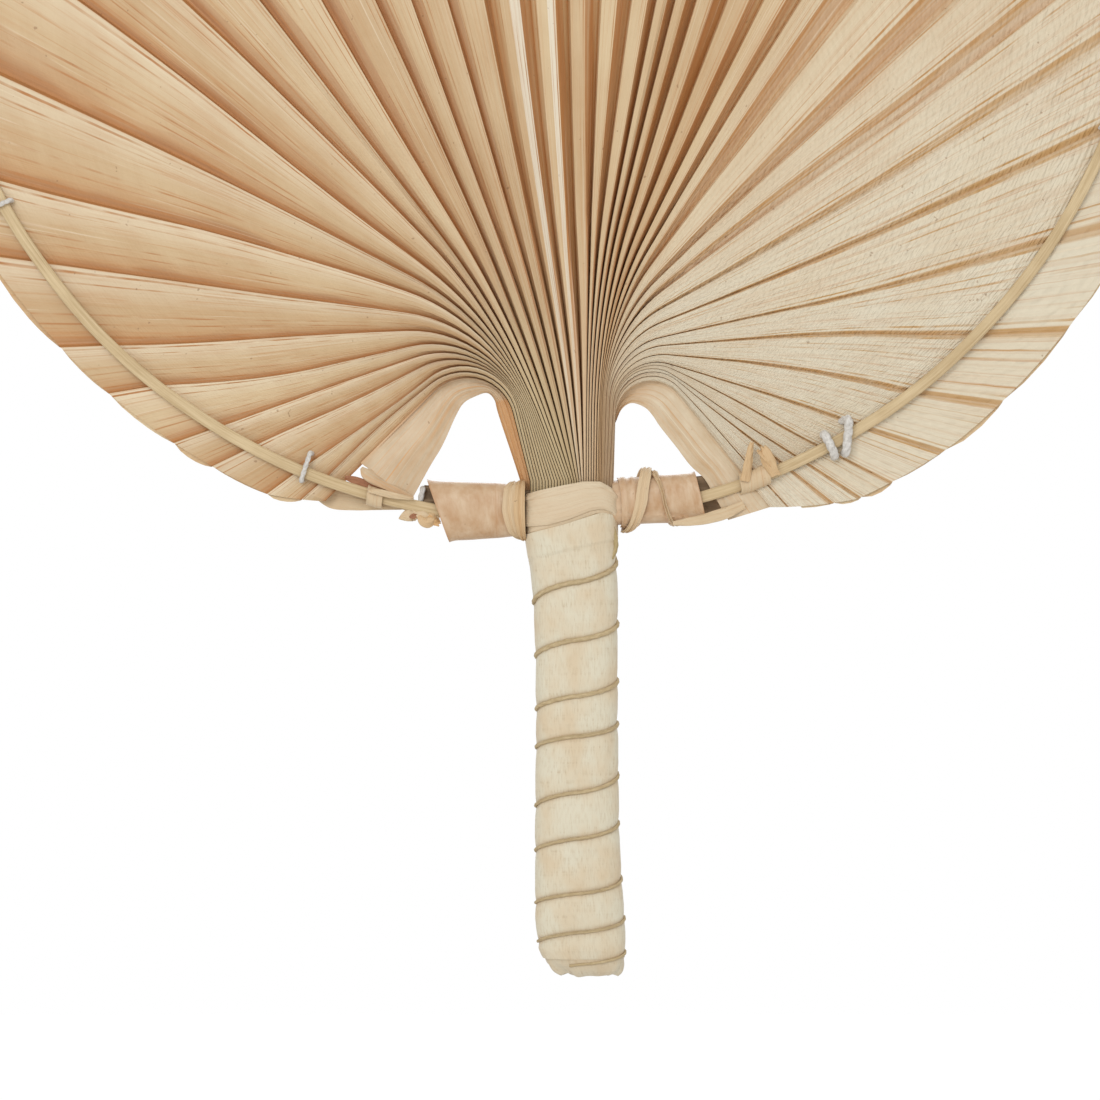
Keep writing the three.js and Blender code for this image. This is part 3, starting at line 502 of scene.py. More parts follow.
def paint_fold_lines(paint, pleats, color, colors):
    """Fine dark lines along the folds, partly the leaf's own lines and partly painted crease shade. Each runs
    at its place past a ridge, with its width, least share and range.
    """
    lines = [
        (0.035, 0.024, 0.4, 0.5), (-0.06, 0.010, 0.2, 0.8), (0.125, 0.012, 0.1, 0.8),
        (-0.19, 0.006, -0.1, 0.9), (0.3, 0.007, -0.1, 0.9), (0.42, 0.008, -0.1, 0.9),
    ]
    for place, width, least, extent in lines:
        wandering = paint.scaled(paint.texture((1.0, 0.12, 1), 1.0), 0.05, -0.025 - place)
        off = paint.number("PINGPONG", paint.number("ADD", pleats.ridge, wandering), 0.5)
        line = paint.rest(paint.ramp(off, width, width * 1.9))
        fade_along = paint.ramp(paint.texture((2.3, 0.3 + width * 5, 1), 2.0), 0.38, 0.62)
        strength = paint.number("MAXIMUM", paint.scaled(fade_along, extent, least), 0.0)
        strength = paint.times(strength, paint.rest(pleats.packed))
        tone = paint.blend(pleats.far, colors["line"], colors["olive"])
        color = paint.blend(paint.times(line, strength), color, tone)
    return color


def leaf_material(name, pale, tan, rib_and_shade_color, panels=0.0, ribs=14.0, grain=0.25, roughness=0.5, specks=0.5,
                  blade_colors=None, lines=1.0, mottle=1.0):
    """Dried palm leaf: fine ribs along it, each panel its own tone, pale painted glints, and painted shade
    down in the folds.
    """
    paint = Paint(name, roughness)
    number, times, blend, ramp, texture = paint.number, paint.times, paint.blend, paint.ramp, paint.texture
    split = add_node(paint.tree, "ShaderNodeSeparateXYZ", Vector=paint.uv)
    crease = number("MAXIMUM", paint.crease(), 0.0)

    panel = number("FLOOR", times(split.outputs[0], panels))
    tone = add_node(paint.tree, "ShaderNodeTexWhiteNoise", noise_dimensions="1D", W=panel)
    clouds = ramp(texture((0.35 * mottle, 0.22 * mottle, 1), 6.0, 0.6), 0.35, 0.65)
    shade = paint.scaled(tone.outputs["Value"], 0.7, paint.scaled(clouds, 0.5, -0.1))
    shade = number("MINIMUM", number("MAXIMUM", shade, 0.0), 1.0)
    color = blend(shade, pale, tan)
    if blade_colors:
        pleats = Pleats(paint, split.outputs[0], split.outputs[1])
        color = blend(pleats.far, color, blend(times(shade, 0.7), *blade_colors["far_side"]))
        for paint_part in (paint_left_panels, paint_middle_walls, paint_far_lines, paint_throat,
                           paint_fold_lines):
            color = paint_part(paint, pleats, color, blade_colors)

    fine = texture((ribs, 0.16, 1), 4.0, 0.65)
    color = blend(times(ramp(fine, 0.48, 0.72), 0.3 * lines), color, rib_and_shade_color)
    threads = ramp(texture((ribs * 1.7, 0.07, 1), 3.0, 0.7), 0.57, 0.63)
    color = blend(times(threads, 0.4 * lines), color, rib_and_shade_color)
    # Painted glints: pale streaks along the ribs, standing for highlights.
    glints = ramp(texture((ribs * 1.4, 0.07, 1), 2.0), 0.62, 0.72)
    color = blend(times(glints, 0.4 * lines), color, blade_colors["crest"] if blade_colors else pale)
    # Painted shade down in the folds, by the crease value: warm brown in the middle's grooves, the gap colour
    # near the throat, the dark colour everywhere.
    deep = number("POWER", crease, 6.0)
    if blade_colors:
        warm = times(number("POWER", crease, 2.0), times(pleats.middle, 0.55))
        color = blend(warm, color, blade_colors["slope"])
        deep = times(deep, paint.scaled(pleats.far, -0.75, 1.0))
        color = blend(times(deep, pleats.packed, 0.85), color, blade_colors["gap"])
    color = blend(times(deep, 0.6), color, rib_and_shade_color)
    on_piece = add_node(paint.tree, "ShaderNodeTexCoord").outputs["Object"]
    dots = add_node(paint.tree, "ShaderNodeTexNoise", Vector=on_piece, Scale=620.0, Detail=1.0).outputs[0]
    color = blend(times(ramp(dots, 0.76, 0.80), specks), color, (0.25, 0.12, 0.05, 1))

    ladder = times(texture((10.0, 4.4, 1), 0.6, 0.5), grain)
    if blade_colors:
        ladder = times(ladder, paint.scaled(pleats.far, 4.5, 0.6))
    return paint.finish(color, number("ADD", fine, ladder), 0.5, 0.0005)


# Brown for the ribs' fine lines and for the painted shade in the folds.
rib_and_fold_shade_brown = (0.50, 0.23, 0.08, 1)
# Painted light among the blade's colours: slope, side, fold and gap are painted shade; crest and bright are
# painted highlights.
blade_colors = {
    "far_side": ((0.74, 0.67, 0.52, 1), (0.67, 0.55, 0.38, 1)),
    "slope": (0.53, 0.27, 0.09, 1),
    "side": (0.42, 0.22, 0.11, 1),
    "crest": (0.83, 0.73, 0.55, 1),
    "bright": (0.78, 0.71, 0.57, 1),
    "packed": ((0.50, 0.40, 0.22, 1), (0.70, 0.53, 0.34, 1), (0.60, 0.38, 0.19, 1)),
    "line": (0.44, 0.19, 0.06, 1),
    "fold": (0.41, 0.15, 0.04, 1),
    "olive": (0.51, 0.29, 0.105, 1),
    "gap": (0.24, 0.08, 0.022, 1),
}
blade_leaf = leaf_material("palm_leaf", (0.66, 0.505, 0.305, 1), (0.54, 0.36, 0.19, 1), rib_and_fold_shade_brown,
                           panels=1.0, grain=0.8, blade_colors=blade_colors)
finish_piece(leaf_blade, "palm_leaf", blade_leaf, "leaf_blade", smooth=20)


# Hems: the leaf's trimmed tips, folded back over the rim in four runs. Each
# tip's flap bows a little past the rim and lies against the back of its panel.
hem_runs = [
    ("hem_lower_left", 1, 9), ("hem_upper_left", 9, 20),
    ("hem_upper_right", 20, 31), ("hem_lower_right", 31, 40),
]
hem_thickness = 0.0005
hem_clearance = 0.0002
hem_bow = 0.0011
hem_depth_rows = hem_rows * 2 - 1
hem_leaf = leaf_material("hem_leaf", (0.74, 0.60, 0.39, 1), (0.60, 0.40, 0.21, 1), rib_and_fold_shade_brown, panels=1.0,
                         roughness=0.55)
for run_name, first_ridge, final_ridge in hem_runs:
    chosen = slice(first_ridge * len(pleat_steps) + 1, final_ridge * len(pleat_steps))
    rows = slice(-hem_depth_rows, None)
    x, z, key = leaf_x[chosen, rows], leaf_z[chosen, rows], ribs_across[chosen, rows]
    outward = np.stack([x - hoop_centre[0], z - hoop_centre[1]], 2)
    outward /= np.linalg.norm(outward, axis=2, keepdims=True)
    lean = 0.5 + 0.5 * np.sin(np.floor(key) * 2.4)
    bow = hem_bow * np.sin(math.pi * (key % 1)) ** 0.6 * (0.35 + lean) * np.linspace(0, 1, hem_depth_rows)
    x, z = x + outward[:, :, 0] * bow, z + outward[:, :, 1] * bow
    near = back_y[chosen, rows] + hem_clearance
    sides = [np.stack([x, y, z], 2) for y in (near, near + hem_thickness)]
    hem = sheet_body(run_name + "_flaps", *sides)
    # The crease values darken the flaps a little deep in their folds, as painted shade.
    paint_sheet(hem, key, along_leaf[chosen, rows], np.clip(creases[chosen, rows] * 0.5 + 0.2, 0, 1))
    finish_piece(hem, "palm_leaf", hem_leaf, run_name)


# Outermost segments: the leaf's two end segments, split from the blade. They arch
# over the shoulders and run down to the hoop, where they are cut and curl up.
segment_thickness = 0.0007
segment_setback = 0.0023
left_free_edge = [
    [-0.555, -0.15, 0.6], [-0.615, 0, 0.5], [-0.87, 0.378, 0.5], [-0.923, 0.471, 0.4], [-1.013, 0.512, 0.15],
    [-1.156, 0.491, -0.05], [-1.288, 0.453, -0.25], [-1.383, 0.378, -0.4], [-1.539, 0.209, -0.7],
    [-1.694, 0.081, -0.95], [-1.909, -0.11, -1],
]
left_stretches = [0, 1, 2, 2.2, 2.4, 2.6, 2.8, 3, 3.25, 3.5, 3.77]
right_free_edge = [
    [0.525, 0.34, 0.2], [0.6, 0.419, 0.1], [0.72, 0.4535, 0], [0.8755, 0.427, -0.15], [0.971, 0.378, -0.3],
    [1.055, 0.316, -0.45], [1.246, 0.198, -0.75], [1.413, 0.09, -0.95], [1.581, 0.012, -1], [1.7, -0.087, -1],
    [1.796, -0.169, -1], [1.867, -0.227, -1],
]
right_stretches = [1.9, 2.15, 2.4, 2.6, 2.8, 3, 3.25, 3.5, 3.75, 4, 5, 6]


def smooth_run(points, count):
    """A smooth run through a row of points, evenly spread between them."""
    points = np.array(points, float)
    padded = np.concatenate([[2 * points[0] - points[1]], points, [2 * points[-1] - points[-2]]])
    run = []
    for t in np.linspace(0, len(points) - 1, count):
        leg = min(int(t), len(points) - 2)
        u = t - leg
        a, b, c, d = padded[leg:leg + 4]
        bends = (2 * a - 5 * b + 4 * c - d) * u ** 2 + (3 * b - a - 3 * c + d) * u ** 3
        run.append(0.5 * (2 * b + (c - a) * u + bends))
    return np.array(run)


segment_look = {"panels": 0.13, "ribs": 6.0, "roughness": 0.40, "lines": 1.7, "mottle": 3.2}
segment_leaf = leaf_material("segment_leaf", (0.73, 0.62, 0.45, 1), (0.47, 0.31, 0.17, 1),
                             (0.64, 0.30, 0.09, 1), grain=0.3, **segment_look)
pale_segment_leaf = leaf_material("pale_segment_leaf", (0.77, 0.69, 0.53, 1), (0.53, 0.37, 0.21, 1),
                                  (0.55, 0.30, 0.12, 1), grain=0.5, **segment_look)
segment_rows, segment_columns = 56, 14
segment_width, segment_length = 1.6, 6.5
shaded_to = [0, 1.8, 2.6]
for side, word, leaf, line, edge, line_stretches, curl, shaded_by in [
    (-1, "left", segment_leaf, line_places[0], left_free_edge, left_stretches, 0.0016, [1.1, 1.0, 0.0]),
    (1, "right", pale_segment_leaf, line_places[-1], right_free_edge, right_stretches, 0.0, [1.0, 0.85, 0.6]),
]:
    column = 0 if side < 0 else -1
    blade_edge = front_y[column] * 0.35 + back_y[column] * 0.65
    free = smooth_run(edge, segment_rows)
    marks = smooth_run([[mark] for mark in line_stretches], segment_rows)[:, 0]
    front = np.zeros((segment_columns, segment_rows, 3))
    for row in range(segment_rows):
        fold = np.array([np.interp(marks[row], stretches, line[:, axis]) for axis in (0, 1)])
        tip = throat_place(*free[row, :2])
        out = (tip - fold) / np.linalg.norm(tip - fold)
        fold = fold - out * 0.0006
        edge_y = np.interp(marks[row], stretches, blade_edge)
        for column, share in enumerate(np.linspace(0, 1, segment_columns)):
            place = fold + (tip - fold) * share
            crown = math.sin(math.pi * share) * np.linalg.norm(tip - fold) * 0.09
            ripple = 0.00022 * wander(share * 6, row * 0.06, side * 5.5)
            ripple += 0.0001 * math.sin(share * 31 + side)
            end = max(0, (row - segment_rows + 7) / 7)
            lip = curl * end ** 2 * (0.4 + 0.6 * (1 - share)) + 0.0007 * max(0, share - 0.86) / 0.14
            depth = free[row, 2] * segment_setback
            depth += (edge_y - depth) * max(0, 1 - share * 3.5) ** 2
            front[column, row] = place[0], depth - crown + ripple - lip, place[1]
    back = front + np.array([0, segment_thickness, 0])
    segment = sheet_body(f"{word}_outer_leaf", front, back)
    across = np.tile(np.linspace(0, segment_width, segment_columns)[:, None], (1, segment_rows))
    along = np.tile(np.linspace(0, segment_length, segment_rows), (segment_columns, 1))
    # Painted shade: darker along the fold edge and the far edge, and along the leg by the throat.
    shade = np.clip(1.15 - across * 6, 0, 1) + 0.75 * (across > 1.5)
    shade = np.maximum(shade, np.interp(along, shaded_to, shaded_by))
    paint_sheet(segment, across, along, np.clip(shade, 0, 1))
    finish_piece(segment, "palm_leaf", leaf, f"{word}_outer_segment", smooth=60)


# Hoop: two strips split from a leaf stem, one on each face of the blade. Each is
# two rounded strands with fibres along them, and they close on the crossbar.
def skin(name, rings, closed=False):
    """A solid through a row of rings of points, capped at both ends unless it closes on itself."""
    count, sides = rings.shape[:2]
    faces = []
    for a in range(count if closed else count - 1):
        b = (a + 1) % count
        for i in range(sides):
            j = (i + 1) % sides
            faces.append([a * sides + i, a * sides + j, b * sides + j, b * sides + i])
    if not closed:
        faces += [list(range(sides))[::-1], [(count - 1) * sides + i for i in range(sides)]]
    mesh = bpy.data.meshes.new(name)
    mesh.from_pydata(rings.reshape(-1, 3).tolist(), [], faces)
    piece = bpy.data.objects.new(name, mesh)
    scene.collection.objects.link(piece)
    return piece


def paint_skin(piece, rings):
    """A UV map: shares of the way round the piece, then centimetres along it."""
    count, sides = rings.shape[:2]
    round_it = np.tile(np.arange(sides) / sides, count)
    lay_ribs(piece.data, round_it, np.repeat(travelled(rings.mean(axis=1)), sides))


def fibre_material(name, pale, dark, across=22.0, along=0.35, roughness=0.62, relief=0.5, distance=0.0004):
    """Fibres that run along a piece, in two tones."""
    paint = Paint(name, roughness, specular=0.3)
    fibres = paint.texture((across, along, 1), 4.0, 0.6)
    patches = paint.texture((1.0, 0.8, 1))
    mixed = paint.number("ADD", paint.times(fibres, 0.7), paint.times(patches, 0.3))
    return paint.finish(paint.blend(paint.ramp(mixed, 0.36, 0.66), dark, pale), fibres, relief, distance)


def squared(value, power):
    """A value from -1 to 1 drawn towards its ends, so that what it places is squarer."""
    return math.copysign(abs(value) ** power, value)


strip_half_depth = 0.00075
strand_sides = 20
hoop_rows = 300
closing_length = 0.0109
hoop_fibre = fibre_material("hoop_fibre", (0.72, 0.57, 0.35, 1), (0.50, 0.36, 0.19, 1), across=26, along=0.5)


def hoop_angle(x):
    """Angle on the hoop, from straight down towards +X, below a place."""
    return math.asin((x - hoop_centre[0]) / hoop_radius)


for node in ("front_hoop_strip", "back_hoop_strip"):
    low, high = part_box(node)
    side = -1 if node.startswith("front") else 1
    face = max(abs(low[1]), abs(high[1])) - strip_half_depth
    end_face = min(abs(low[1]), abs(high[1])) + strip_half_depth
    start, finish = hoop_angle(-0.0322), hoop_angle(0.0274) - 2 * math.pi
    rings = np.zeros((hoop_rows, strand_sides, 3))
    for row, angle in enumerate(np.linspace(start, finish, hoop_rows)):
        from_end = min(start - angle, angle - finish) * hoop_radius
        depth = side * np.interp(from_end, [0, closing_length], [end_face, face])
        wobble = 0.00025 * wander(angle * 5, side * 3.0, 0.4)
        for i in range(strand_sides):
            turn = 2 * math.pi * i / strand_sides
            across = squared(math.cos(turn), 0.55)
            waist = 1 - 0.34 * math.exp(-(across / 0.2) ** 2)
            out = hoop_radius + wobble + across * strip_width / 2
            y = depth + squared(math.sin(turn), 0.6) * strip_half_depth * waist
            x, z = hoop_centre + out * np.array([math.sin(angle), -math.cos(angle)])
            rings[row, i] = x, y, z
    strip = skin(node + "_strands", rings)
    paint_skin(strip, rings)
    finish_piece(strip, "hoop_strip", hoop_fibre, node)


# Stitches round the hoop: white thread and yarn, twisted from plies. Each loop
# passes through the leaf on both sides of the strips and closes at the back.
def twisted_rings(path, radius, plies, pitch, closed=False, sides=18, depth=0.3):
    """Rings of a twisted cord along a path: the plies show as lobes that wind round it."""
    path = np.array(path)
    ahead = np.roll(path, -1, axis=0) - np.roll(path, 1, axis=0)
    if not closed:
        ahead[0], ahead[-1] = path[1] - path[0], path[-1] - path[-2]
    lengths = np.linalg.norm(np.roll(path, -1, axis=0) - path, axis=1)
    travelled = np.concatenate([[0], np.cumsum(lengths[:-1])])
    whole = lengths.sum() if closed else travelled[-1]
    turns = max(1, round(whole / pitch))
    normal = Vector(ahead[0]).orthogonal().normalized()
    rings = []
    radii = np.broadcast_to(radius, len(path))
    for row, heading in enumerate(ahead):
        heading = Vector(heading).normalized()
        normal = (normal - heading * normal.dot(heading)).normalized()
        other = heading.cross(normal)
        twist = 2 * math.pi * turns * travelled[row] / whole
        ring = []
        for i in range(sides):
            turn = 2 * math.pi * i / sides
            out = radii[row] * (1 - depth + depth * abs(math.cos(plies * (turn - twist) / 2)))
            ring.append(path[row] + np.array(normal * math.cos(turn) * out + other * math.sin(turn) * out))
        rings.append(ring)
    return np.array(rings)


def loop_path(inner, outer, depth, corner, steps):
    """A rounded loop round both strips, as how far out from the hoop's middle line and how deep."""
    half, middle = (outer + inner) / 2, (outer - inner) / 2
    path = []
    for along_sign, depth_sign, quarter in [(1, 1, 0), (-1, 1, 1), (-1, -1, 2), (1, -1, 3)]:
        for t in np.linspace(0, 1, 9):
            turn = (quarter + t) * math.pi / 2
            path.append([middle + along_sign * (half - corner) + corner * math.cos(turn),
                         depth_sign * (depth - corner) + corner * math.sin(turn)])
    path = np.array(path + path[:1])
    lengths = travelled(path)
    even = np.linspace(0, lengths[-1], steps + 1)[:-1]
    return np.stack([np.interp(even, lengths, path[:, axis]) for axis in (0, 1)], 1)


def hoop_place(angle, out, y):
    """A place by its angle on the hoop, how far it is out from the middle line, and its depth."""
    out = hoop_radius + out
    return [hoop_centre[0] + out * math.sin(angle), y, hoop_centre[1] - out * math.cos(angle)]


strips_front = max(abs(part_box("front_hoop_strip")[0][1]), abs(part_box("front_hoop_strip")[1][1]))
stitch_clearance = 0.0003
thread_radius, yarn_radius = 0.00075, 0.0014
stitch_steps = 120
cotton = fibre_material("cotton_thread", (0.84, 0.82, 0.78, 1), (0.50, 0.47, 0.43, 1), across=9, along=9,
                        roughness=0.85, relief=0.6, distance=0.0003)
# Node, angle in degrees, reach inward and outward, radius, and how far the front
# leans along the hoop from its outer to its inner end.
stitches = [
    ("left_thread_stitch", -22.4, 0.0060, 0.0027, thread_radius, -0.0006),
    ("left_end_stitch", -11.3, 0.0056, 0.0027, 0.0009, 0.0002),
    ("right_yarn_stitch_lower", 28.2, 0.0036, 0.0034, yarn_radius, 0.0004),
    ("right_yarn_stitch_upper", 29.2, 0.0044, 0.0042, yarn_radius, 0.0060),
]
rim_stitch_count = 7
for number in range(1, rim_stitch_count + 1):
    angle = 29.9 + number * (360 - 29.9 - 22.4) / (rim_stitch_count + 1)
    stitches.append((f"rim_thread_stitch_{number}", angle, 0.0027, 0.0027, thread_radius, 0.0004))
for node, degrees, inner, outer, radius, slant in stitches:
    flat = loop_path(inner, outer, strips_front + stitch_clearance + radius, radius * 1.4, stitch_steps)
    if node == "left_end_stitch":
        flat[:, 1] = np.where(flat[:, 1] < 0, flat[:, 1] * 0.3, flat[:, 1])
    loop = []
    for out, y in flat:
        lean = slant * (outer - out) / (outer + inner) * (0.5 - 0.5 * y / (strips_front + radius))
        lean += 0.00012 * wander(out * 900, y * 700, degrees)
        loop.append(hoop_place(math.radians(degrees) + lean / hoop_radius, out, y))
    plies = 3 if radius == yarn_radius else 2
    rings = twisted_rings(loop, radius, plies, radius * 5.5, closed=True, depth=0.22)
    stitch = skin(node + "_twist", rings, closed=True)
    paint_skin(stitch, rings)
    finish_piece(stitch, "thread", cotton, node, smooth=80)


# Leaf ties: a strip of leaf knotted round both hoop strips at each side, its
# edges uneven. Their torn ends, and the crumpled strip end, are flat ribbons.
def ribbon(name, leaf, places, *nodes, rows=44, ragged=0.001, curl=0.0004):
    """A torn strip of leaf. Each place gives X, Y, Z, half width, roll in degrees and cup."""
    thickness, columns = 0.0005, 9
    run = smooth_run(places, rows)
    headings = np.gradient(run[:, :3], axis=0)
    front = np.zeros((columns, rows, 3))
    back = np.zeros_like(front)
    for row, heading in enumerate(headings):
        forward = Vector(heading).normalized()
        facing = Vector((0, -1, 0))
        facing = (facing - forward * facing.dot(forward)).normalized()
        side = forward.cross(facing)
        roll = math.radians(run[row, 4])
        side, facing = (side * math.cos(roll) + facing * math.sin(roll),
                        facing * math.cos(roll) - side * math.sin(roll))
        tip = max(0, (row - rows + 12) / 11)
        for column, share in enumerate(np.linspace(-1, 1, columns)):
            wave = curl * wander(share * 1.3, row * 0.13, len(name) * 0.7 + share)
            place = Vector(run[row, :3]) + side * run[row, 3] * share
            place += facing * (run[row, 5] * (1 - share ** 2) + wave)
            place += forward * ragged * tip ** 2 * wander(share * 3.7, 0.3, len(name) * 1.1)
            front[column, row] = place + facing * thickness / 2
            back[column, row] = place - facing * thickness / 2
    piece = sheet_body(name, front, back)
    shares = np.linspace(-1, 1, columns)[:, None]
    across = shares * run[None, :, 3] * to_centimetres
    edge = np.clip(np.abs(np.tile(shares, (1, rows))) - 0.7, 0, 1)
    paint_sheet(piece, across + 3, np.tile(travelled(run[:, :3]), (columns, 1)), edge)
    finish_piece(piece, "leaf_strip", leaf, *nodes, smooth=60)


strip_leaf = leaf_material("strip_leaf", (0.70, 0.57, 0.38, 1), (0.62, 0.45, 0.27, 1), rib_and_fold_shade_brown, ribs=16.0,
                           grain=0.3)
torn_leaf = leaf_material("torn_leaf", (0.72, 0.55, 0.33, 1), (0.60, 0.38, 0.19, 1), rib_and_fold_shade_brown, ribs=18.0,
                          grain=0.3)
tie_wall, tie_corner = 0.0006, 0.0018
tie_sides, tie_rows = 72, 15
for node, degrees, half_length, inner, outer, skew in [
    ("left_leaf_tie", -15.5, 0.0023, 0.00215, 0.00255, 0.0003),
    ("right_leaf_tie", 20.6, 0.0046, 0.00245, 0.00245, -0.0006),
]:
    layers = []
    for wall in (tie_wall, 0):
        depth = strips_front + stitch_clearance + wall
        flat = loop_path(inner + wall, outer + wall, depth, tie_corner + wall, tie_sides)
        layer = np.zeros((tie_sides, tie_rows, 3))
        for column, (out, y) in enumerate(flat):
            for row, share in enumerate(np.linspace(-1, 1, tie_rows)):
                edge = half_length * (1 + 0.16 * wander(column * 0.09, share, degrees))
                crimp = 0.0003 * wander(share * 2.2, column * 0.05, degrees) - 0.0005 * abs(share) ** 4
                along = share * edge + skew * out / inner
                angle = math.radians(degrees) + along / hoop_radius
                layer[column, row] = hoop_place(angle, out + crimp * 0.4, y + math.copysign(crimp, y))
        layers.append(layer)
    tie = sheet_body(node + "_band", *layers, closed=True)
    across = np.tile(np.linspace(0, 2 * half_length * to_centimetres, tie_rows), (tie_sides, 1))
    along = np.tile(np.linspace(0, 3.2, tie_sides)[:, None], (1, tie_rows))
    paint_sheet(tie, across, along, np.clip(np.abs(across / across.max() * 2 - 1) - 0.75, 0, 1))
    finish_piece(tie, "leaf_strip", strip_leaf, node, smooth=60)

tie_front = -0.0060
ribbon("left_split_end", strip_leaf, [
    [-0.0622, tie_front, 0.0792, 0.0005, 0, 0.0002], [-0.0590, tie_front - 0.0004, 0.0787, 0.0009, 8, 0.0004],
    [-0.0545, tie_front - 0.0001, 0.0777, 0.0009, -10, 0.0003],
    [-0.0490, tie_front, 0.0768, 0.0003, -18, 0.0001],
], "left_tie_end", ragged=0.0012)
ribbon("right_long_end", torn_leaf, [
    [0.0500, tie_front, 0.0820, 0.0014, -20, 0.0003],
    [0.0508, tie_front - 0.0004, 0.0868, 0.0014, -30, 0.0006],
    [0.0514, tie_front - 0.0006, 0.0905, 0.0011, -36, 0.0005],
    [0.0521, tie_front - 0.0002, 0.0934, 0.0005, -30, 0.0002],
], "right_tie_end_long", ragged=0.0010)
ribbon("right_short_end", torn_leaf, [
    [0.0590, tie_front, 0.0836, 0.0012, 10, 0.0003], [0.0572, tie_front - 0.0003, 0.0876, 0.0021, 24, 0.0008],
    [0.0561, tie_front - 0.0006, 0.0904, 0.0019, 30, 0.0007],
    [0.0552, tie_front - 0.0002, 0.0922, 0.0011, 34, 0.0003],
], "right_tie_end_short", ragged=0.0012)
ribbon("right_torn_splinter", torn_leaf, [
    [0.0536, tie_front - 0.0009, 0.0913, 0.0004, 0, 0.0001],
    [0.0565, tie_front - 0.0010, 0.0880, 0.0006, 20, 0.0002],
    [0.0588, tie_front - 0.0006, 0.0858, 0.0006, 10, 0.0002], [0.0604, tie_front, 0.0840, 0.0004, 0, 0.0001],
], ragged=0.0006)

scrap_leaf = leaf_material("scrap_leaf", (0.76, 0.52, 0.27, 1), (0.62, 0.34, 0.13, 1), (0.30, 0.11, 0.04, 1),
                           ribs=12.0, grain=0.4)
# A dark leaf for the hollows, laid there as painted shade.
hollow_shade_leaf = leaf_material("hollow_shade_leaf", (0.42, 0.20, 0.10, 1), (0.30, 0.12, 0.06, 1), (0.16, 0.05, 0.02, 1),
                          ribs=12.0, roughness=0.6)
scrap_front = -0.0033
ribbon("crumpled_strip_end", strip_leaf, [
    [-0.0532, scrap_front, 0.0709, 0.0003, 0, 0.0001],
    [-0.0512, scrap_front - 0.0003, 0.0716, 0.0016, 12, 0.0004],
    [-0.0490, scrap_front, 0.0723, 0.0022, -24, 0.0008],
    [-0.0465, scrap_front - 0.0006, 0.0722, 0.0014, 40, 0.0006],
    [-0.0413, scrap_front, 0.0712, 0.0014, 10, 0.0003],
], "left_hoop_end_scrap", rows=60, curl=0.0006)
ribbon("left_scrap_knot", torn_leaf, [
    [-0.0470, scrap_front - 0.0008, 0.0722, 0.0007, 10, 0.0002],
    [-0.0462, scrap_front - 0.0014, 0.0704, 0.0014, 30, 0.0006],
    [-0.0446, scrap_front - 0.0018, 0.0697, 0.0016, -20, 0.0007],
    [-0.0430, scrap_front - 0.0014, 0.0708, 0.0012, -40, 0.0005],
    [-0.0440, scrap_front - 0.0008, 0.0724, 0.0007, -10, 0.0002],
], ragged=0.0004)
ribbon("left_frayed_end", scrap_leaf, [
    [-0.0452, scrap_front - 0.0004, 0.0716, 0.0010, 20, 0.0002],
    [-0.0435, scrap_front - 0.0012, 0.0705, 0.0013, -30, 0.0006],
    [-0.0410, scrap_front - 0.0006, 0.0694, 0.0010, 24, 0.0003],
], ragged=0.0008)
# Painted shade: a dark sheet in the crumpled end's hollow.
ribbon("left_scrap_hollow", hollow_shade_leaf, [
    [-0.0500, scrap_front - 0.0009, 0.0713, 0.0003, 0, 0.0],
    [-0.0488, scrap_front - 0.0013, 0.0716, 0.0008, 0, 0.0],
    [-0.0474, scrap_front - 0.0010, 0.0722, 0.0003, 0, 0.0],
], rows=24, ragged=0.0002)
ribbon("left_tucked_strip", strip_leaf, [
    [-0.0790, 0.0022, 0.0786, 0.0012, 0, 0.0002], [-0.0735, 0.0022, 0.0776, 0.0036, 0, 0.0002],
    [-0.0665, 0.0022, 0.0766, 0.0032, 0, 0.0003], [-0.0600, 0.0022, 0.0757, 0.0022, 0, 0.0003],
    [-0.0525, 0.0022, 0.0746, 0.0010, 0, 0.0001],
], ragged=0.0008)
# Painted shade: a dark sheet under the curled lip.
ribbon("left_torn_hollow", hollow_shade_leaf, [
    [-0.0694, -0.0034, 0.0832, 0.0006, 0, 0.0], [-0.0660, -0.0034, 0.0822, 0.0012, 0, 0.0],
    [-0.0610, -0.0034, 0.0804, 0.0011, 0, 0.0], [-0.0560, -0.0034, 0.0786, 0.0004, 0, 0.0],
], ragged=0.0006)
ribbon("left_curled_lip", segment_leaf, [
    [-0.0644, -0.0046, 0.0860, 0.0005, 0, 0.0002], [-0.0625, -0.0048, 0.0840, 0.0018, 20, 0.0006],
    [-0.0578, -0.0046, 0.0813, 0.0017, 26, 0.0005], [-0.0525, -0.0040, 0.0787, 0.0013, 16, 0.0003],
    [-0.0489, -0.0036, 0.0769, 0.0005, 0, 0.0001],
], ragged=0.0004)
ribbon("right_slack_strip", strip_leaf, [
    [0.0285, -0.0066, 0.0694, 0.0006, 0, 0.0002], [0.0340, -0.0064, 0.0700, 0.0013, 10, 0.0003],
    [0.0400, -0.0052, 0.0712, 0.0017, 16, 0.0004], [0.0450, -0.0042, 0.0728, 0.0017, 12, 0.0003],
    [0.0500, -0.0036, 0.0750, 0.0012, 4, 0.0002],
], ragged=0.0003)


